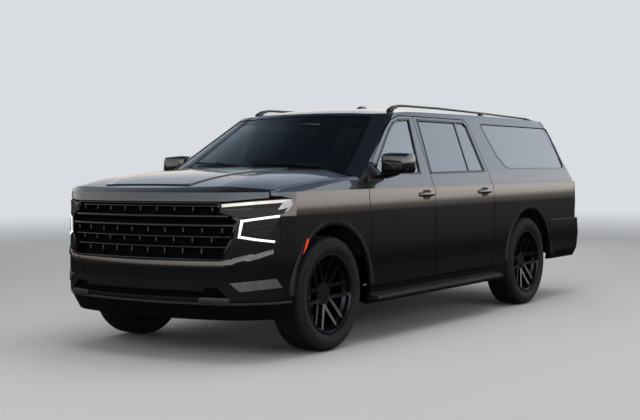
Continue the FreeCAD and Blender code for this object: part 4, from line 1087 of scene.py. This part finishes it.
finish(slab("consoleLid", [(x, -half, z) for x, z in dash["lid"]], (0, 2 * half, 0), 9, 3), "grainedHide", "body",
       "interior_leather")
holders = []
for x, y in dash["cups"]:
    cup = raisedDisc("cupHolder", (x, y, dash["cupFoot"]), dash["cupRadius"], 32, dash["cupHigh"])
    bpy.ops.mesh.inset(thickness=dash["cupRim"] * mm)
    extrude((0, 0, -dash["cupDeep"]))
    bpy.ops.object.mode_set(mode="OBJECT")
    holders.append(cup)
finish(join("cupHolders", holders), "brightChrome", "body", "interior_plastic")

# Each part of a door card has its material, slot, place from the middle, thickness, easing and outline; an outline's
# first number picks the rear or front end of the card
doorCard = {"front": (460, 1290), "rear": (-560, 250),
            "parts": (("DoorCardLeft", "softTouchVinyl", "interior_plastic", 957, -10, (4, 2),
                       ((0, 0, 500), (1, 0, 500), (1, 0, 1060), (1, -30, 1150), (0, 10, 1150), (0, 0, 1060))),
                      ("DoorArmrestLeft", "grainedHide", "interior_leather", 946, -58, (12, 3),
                       ((0, 90, 930), (1, -160, 930), (1, -120, 990), (0, 70, 990))),
                      ("DoorInsertLeft", "grainedHide", "interior_leather", 948, -7, (5, 3),
                       ((0, 70, 1010), (1, -110, 1010), (1, -90, 1110), (0, 60, 1110))))}
for end in ("front", "rear"):
    for name, material, slot, y, thick, easing, outline in doorCard["parts"]:
        card = slab(end + name, [(doorCard[end][which] + offset, y, z) for which, offset, z in outline], (0, thick, 0),
                    *easing)
        both(card, material, f"door_{end}_left", slot)
backMirror = {"x": 1010, "outline": ((-125, 1560), (125, 1560), (118, 1625), (-118, 1625)), "thick": 26}
innerMirror = slab("innerMirror", [(backMirror["x"], y, z) for y, z in backMirror["outline"]],
                   (-backMirror["thick"], 0, 0), 9, 3)
finish(innerMirror, "satinBlackAbs", "body", "interior_plastic")
print("cabin done")

# Hood: a raised middle with a crease along each side. Under it, the engine's cover, oil cap and intake duct
hood = {"dome": ((1690, -480), (1690, 480), (2745, 395), (2745, -395)), "lift": 0.4, "thick": 7, "ease": (4, 3, 50)}
dome = patch("hoodDome", "hood", hood["dome"], "top", hood["lift"], hood["thick"])
bevelEdges(dome, *hood["ease"])
finish(dome, "paint", "hood", "body_paint", angle=25)
engine = {"top": 1080, "cover": ((1760, -290), (2250, -290), (2330, -210), (2330, 210), (2250, 290), (1760, 290)),
          "coverHeight": 46, "ribs": 6, "ribFrom": -225, "ribEvery": 90, "ribX": (1800, 2240), "ribWidth": 22,
          "ribHigh": 12, "cap": (2286, 150), "capRadius": 30, "capHigh": 26, "ductSides": (-60, 160),
          "duct": ((2330, 1100), (2540, 1100), (2590, 1082), (2640, 1082), (2640, 1102), (2600, 1102), (2550, 1140),
                   (2300, 1140))}
lid = engine["top"] + engine["coverHeight"] - 1
cover = [slab("engineCover", [(x, y, engine["top"]) for x, y in engine["cover"]], (0, 0, engine["coverHeight"]), 12, 3)]
for number in range(engine["ribs"]):
    y = engine["ribFrom"] + number * engine["ribEvery"]
    (x0, x1), width = engine["ribX"], engine["ribWidth"]
    cover.append(block("engineRib", (x0, y, lid), (x1, y + width, lid + engine["ribHigh"]), 5, 2))
finish(join("engineCover", cover), "grainedPolypropylene", "body", "trim_black")
(x, y), radius = engine["cap"], engine["capRadius"]
turns = [k * math.pi / 12 for k in range(24)]
cap = slab("oilCap", [(x + radius * math.cos(a), y + radius * math.sin(a), lid) for a in turns],
           (0, 0, engine["capHigh"]), 5, 3)
finish(cap, "satinBlackAbs", "body", "trim_black")
y0, y1 = engine["ductSides"]
duct = slab("intakeDuct", [(x, y0, z) for x, z in engine["duct"]], (0, y1 - y0, 0), 8, 3)
finish(duct, "grainedPolypropylene", "body", "trim_black")
print("hood and engine cover done")

# Seats: padded hide. Each pad is a closed outline, voxel remeshed, blown up a little as cloth, then its seams are
# drawn in
seat = {"voxel": 11, "frames": 12, "pressure": 3.0, "mass": 0.3, "stiffness": 12, "quality": 4, "cap": 14, "shrink": 9,
        "edge": 32, "seam": 7, "seamDepth": 5, "facing": 0.35, "fill": 0.6, "edgeSeam": 0.62, "benchEdgeSeam": 0.9,
        "Cushion": ((-15, 4), (480, 4), (536, 48), (538, 100), (480, 131), (-15, 92)),
        "Back": ((-64, 98), (56, 96), (14, 320), (-92, 696), (-186, 694), (-118, 320)),
        "CushionLines": (((330, 0), (330, 200)), ((180, 0), (180, 200))),
        "BackLines": (((-200, 240), (100, 262)), ((-200, 400), (100, 422)), ((-250, 560), (100, 582))),
        "Headrest": ((-112, 706), (-92, 722), (-108, 872), (-196, 872), (-206, 706)), "headHalf": 130, "headSeam": 96,
        "post": (-150, 60, 660), "postRadius": 6, "postHigh": 60}


def blowUp(piece):  # cloth under pressure; no point moves further than the cap
    start = [v.co.copy() for v in piece.data.vertices]
    bpy.ops.object.modifier_add(type="CLOTH")
    cloth = piece.modifiers[-1]
    cloth.settings.quality = seat["quality"]
    cloth.settings.mass = seat["mass"]
    cloth.settings.tension_stiffness = cloth.settings.compression_stiffness = seat["stiffness"]
    cloth.settings.use_pressure = True
    cloth.settings.uniform_pressure_force = seat["pressure"]
    cloth.settings.effector_weights.gravity = 0
    for frameNumber in range(1, seat["frames"] + 1):
        bpy.context.scene.frame_set(frameNumber)
    bpy.ops.object.modifier_apply(modifier=cloth.name)
    bpy.context.scene.frame_set(1)
    for v, origin in zip(piece.data.vertices, start):
        away = v.co - origin
        if away.length > seat["cap"] * mm:
            v.co = origin + away.normalized() * seat["cap"] * mm
    piece.data.update()


# Seams are grooves at places across a pad. Between the outermost two they also follow lines seen from the side
def drawSeams(piece, seams, crosswise):
    normals = [v.normal.copy() for v in piece.data.vertices]
    for v, normal in zip(piece.data.vertices, normals):
        at, sink = v.co / mm, 0.0
        for y in seams:
            sink = max(sink, 1 - abs(at.y - y) / seat["seam"])
        if min(seams) - 2 < at.y < max(seams) + 2:
            for (ax, az), (bx, bz) in crosswise:
                along = Vector((bx - ax, bz - az)).normalized()
                sink = max(sink, 1 - abs((at.x - ax) * along.y - (at.z - az) * along.x) / seat["seam"])
        if sink > 0:
            v.co -= normal * sink * seat["seamDepth"] * mm


def pad(name, outline, y0, y1, seams, crosswise=()):  # outline in mm, seen from the side (x, z)
    middle = Vector((sum(p[0] for p in outline), sum(p[1] for p in outline))) / len(outline)
    points = [tuple(Vector(p) - (Vector(p) - middle).normalized() * seat["shrink"]) for p in outline]
    piece = slab(name, [(x, y0 + seat["shrink"], z) for x, z in points], (0, y1 - y0 - 2 * seat["shrink"], 0),
                 seat["edge"], 3)
    edit(piece)
    selectAll()
    bpy.ops.mesh.normals_make_consistent(inside=False)
    bpy.ops.object.mode_set(mode="OBJECT")
    modify(piece, "REMESH", mode="VOXEL", voxel_size=seat["voxel"] * mm, use_smooth_shade=True)
    blowUp(piece)
    drawSeams(piece, seams, crosswise)
    modify(piece, "SUBSURF", levels=1, render_levels=1)
    finish(piece, "grainedHide", "body", "seat_leather", angle=180)
    piece.data.materials.append(materials["perforatedHide"])
    for part in piece.data.polygons:
        if min(seams) < part.center.y / mm < max(seams) and max(part.normal.x, part.normal.z) > seat["facing"]:
            part.material_index = 1
    return piece


def seatPads(row, x, base, y, width, places):  # a cushion and a back for one or three places; width is half
    side = width * seat["edgeSeam" if places == 1 else "benchEdgeSeam"]
    seams = [y - side, y + side] + ([y - width / 3, y + width / 3] if places > 1 else [])
    pieces = []
    for name in ("Cushion", "Back"):
        crosswise = [((x + ax, base + az), (x + bx, base + bz)) for (ax, az), (bx, bz) in seat[name + "Lines"]]
        pieces.append(pad(row + name, [(x + px, base + pz) for px, pz in seat[name]], y - width, y + width, seams,
                          crosswise))
    return pieces


def headrest(row, x, base, y):
    half, seam = seat["headHalf"], seat["headSeam"]
    rest = pad(row + "Headrest", [(x + px, base + pz) for px, pz in seat["Headrest"]], y - half, y + half,
               [y - seam, y + seam])
    posts = []
    postX, apart, foot = seat["post"]
    for side in (-apart, apart):
        posts.append(raisedDisc("headrestPost", (x + postX, y + side, base + foot), seat["postRadius"], 16,
                                seat["postHigh"]))
    return [rest, finish(join(row + "HeadrestPosts", posts), "brightChrome", "body", "seat_leather")]


def copySeat(piece, name, **placing):
    copy = copyPiece(piece, name, "body", **placing)
    return copy


rows = {"front": (150, 760, 410, 246), "rear": (-1900, 740, 0, 596), "rearRest": 400, "middleStep": -990}
x, base, y, width = rows["front"]
frontSeat = seatPads("frontSeatLeft", x, base, y, width, 1) + headrest("frontSeatLeft", x, base, y)
for piece in frontSeat:
    right = copyPiece(piece, piece.name.replace("Left", "Right"), "body", flip=True)
    for other in (piece, right):
        copySeat(other, other.name.replace("frontSeat", "middleSeat"), step=(rows["middleStep"], 0, 0))
x, base, y, width = rows["rear"]
rearSeat = seatPads("rearSeat", x, base, y, width, 3) + headrest("rearSeatLeft", x, base, rows["rearRest"])
for piece in rearSeat[2:]:
    copySeat(piece, piece.name.replace("Left", "Right"), flip=True)
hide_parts("front_seats")
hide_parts("middle_seats")
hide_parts("rear_seats")
print("seats done")

low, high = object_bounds()
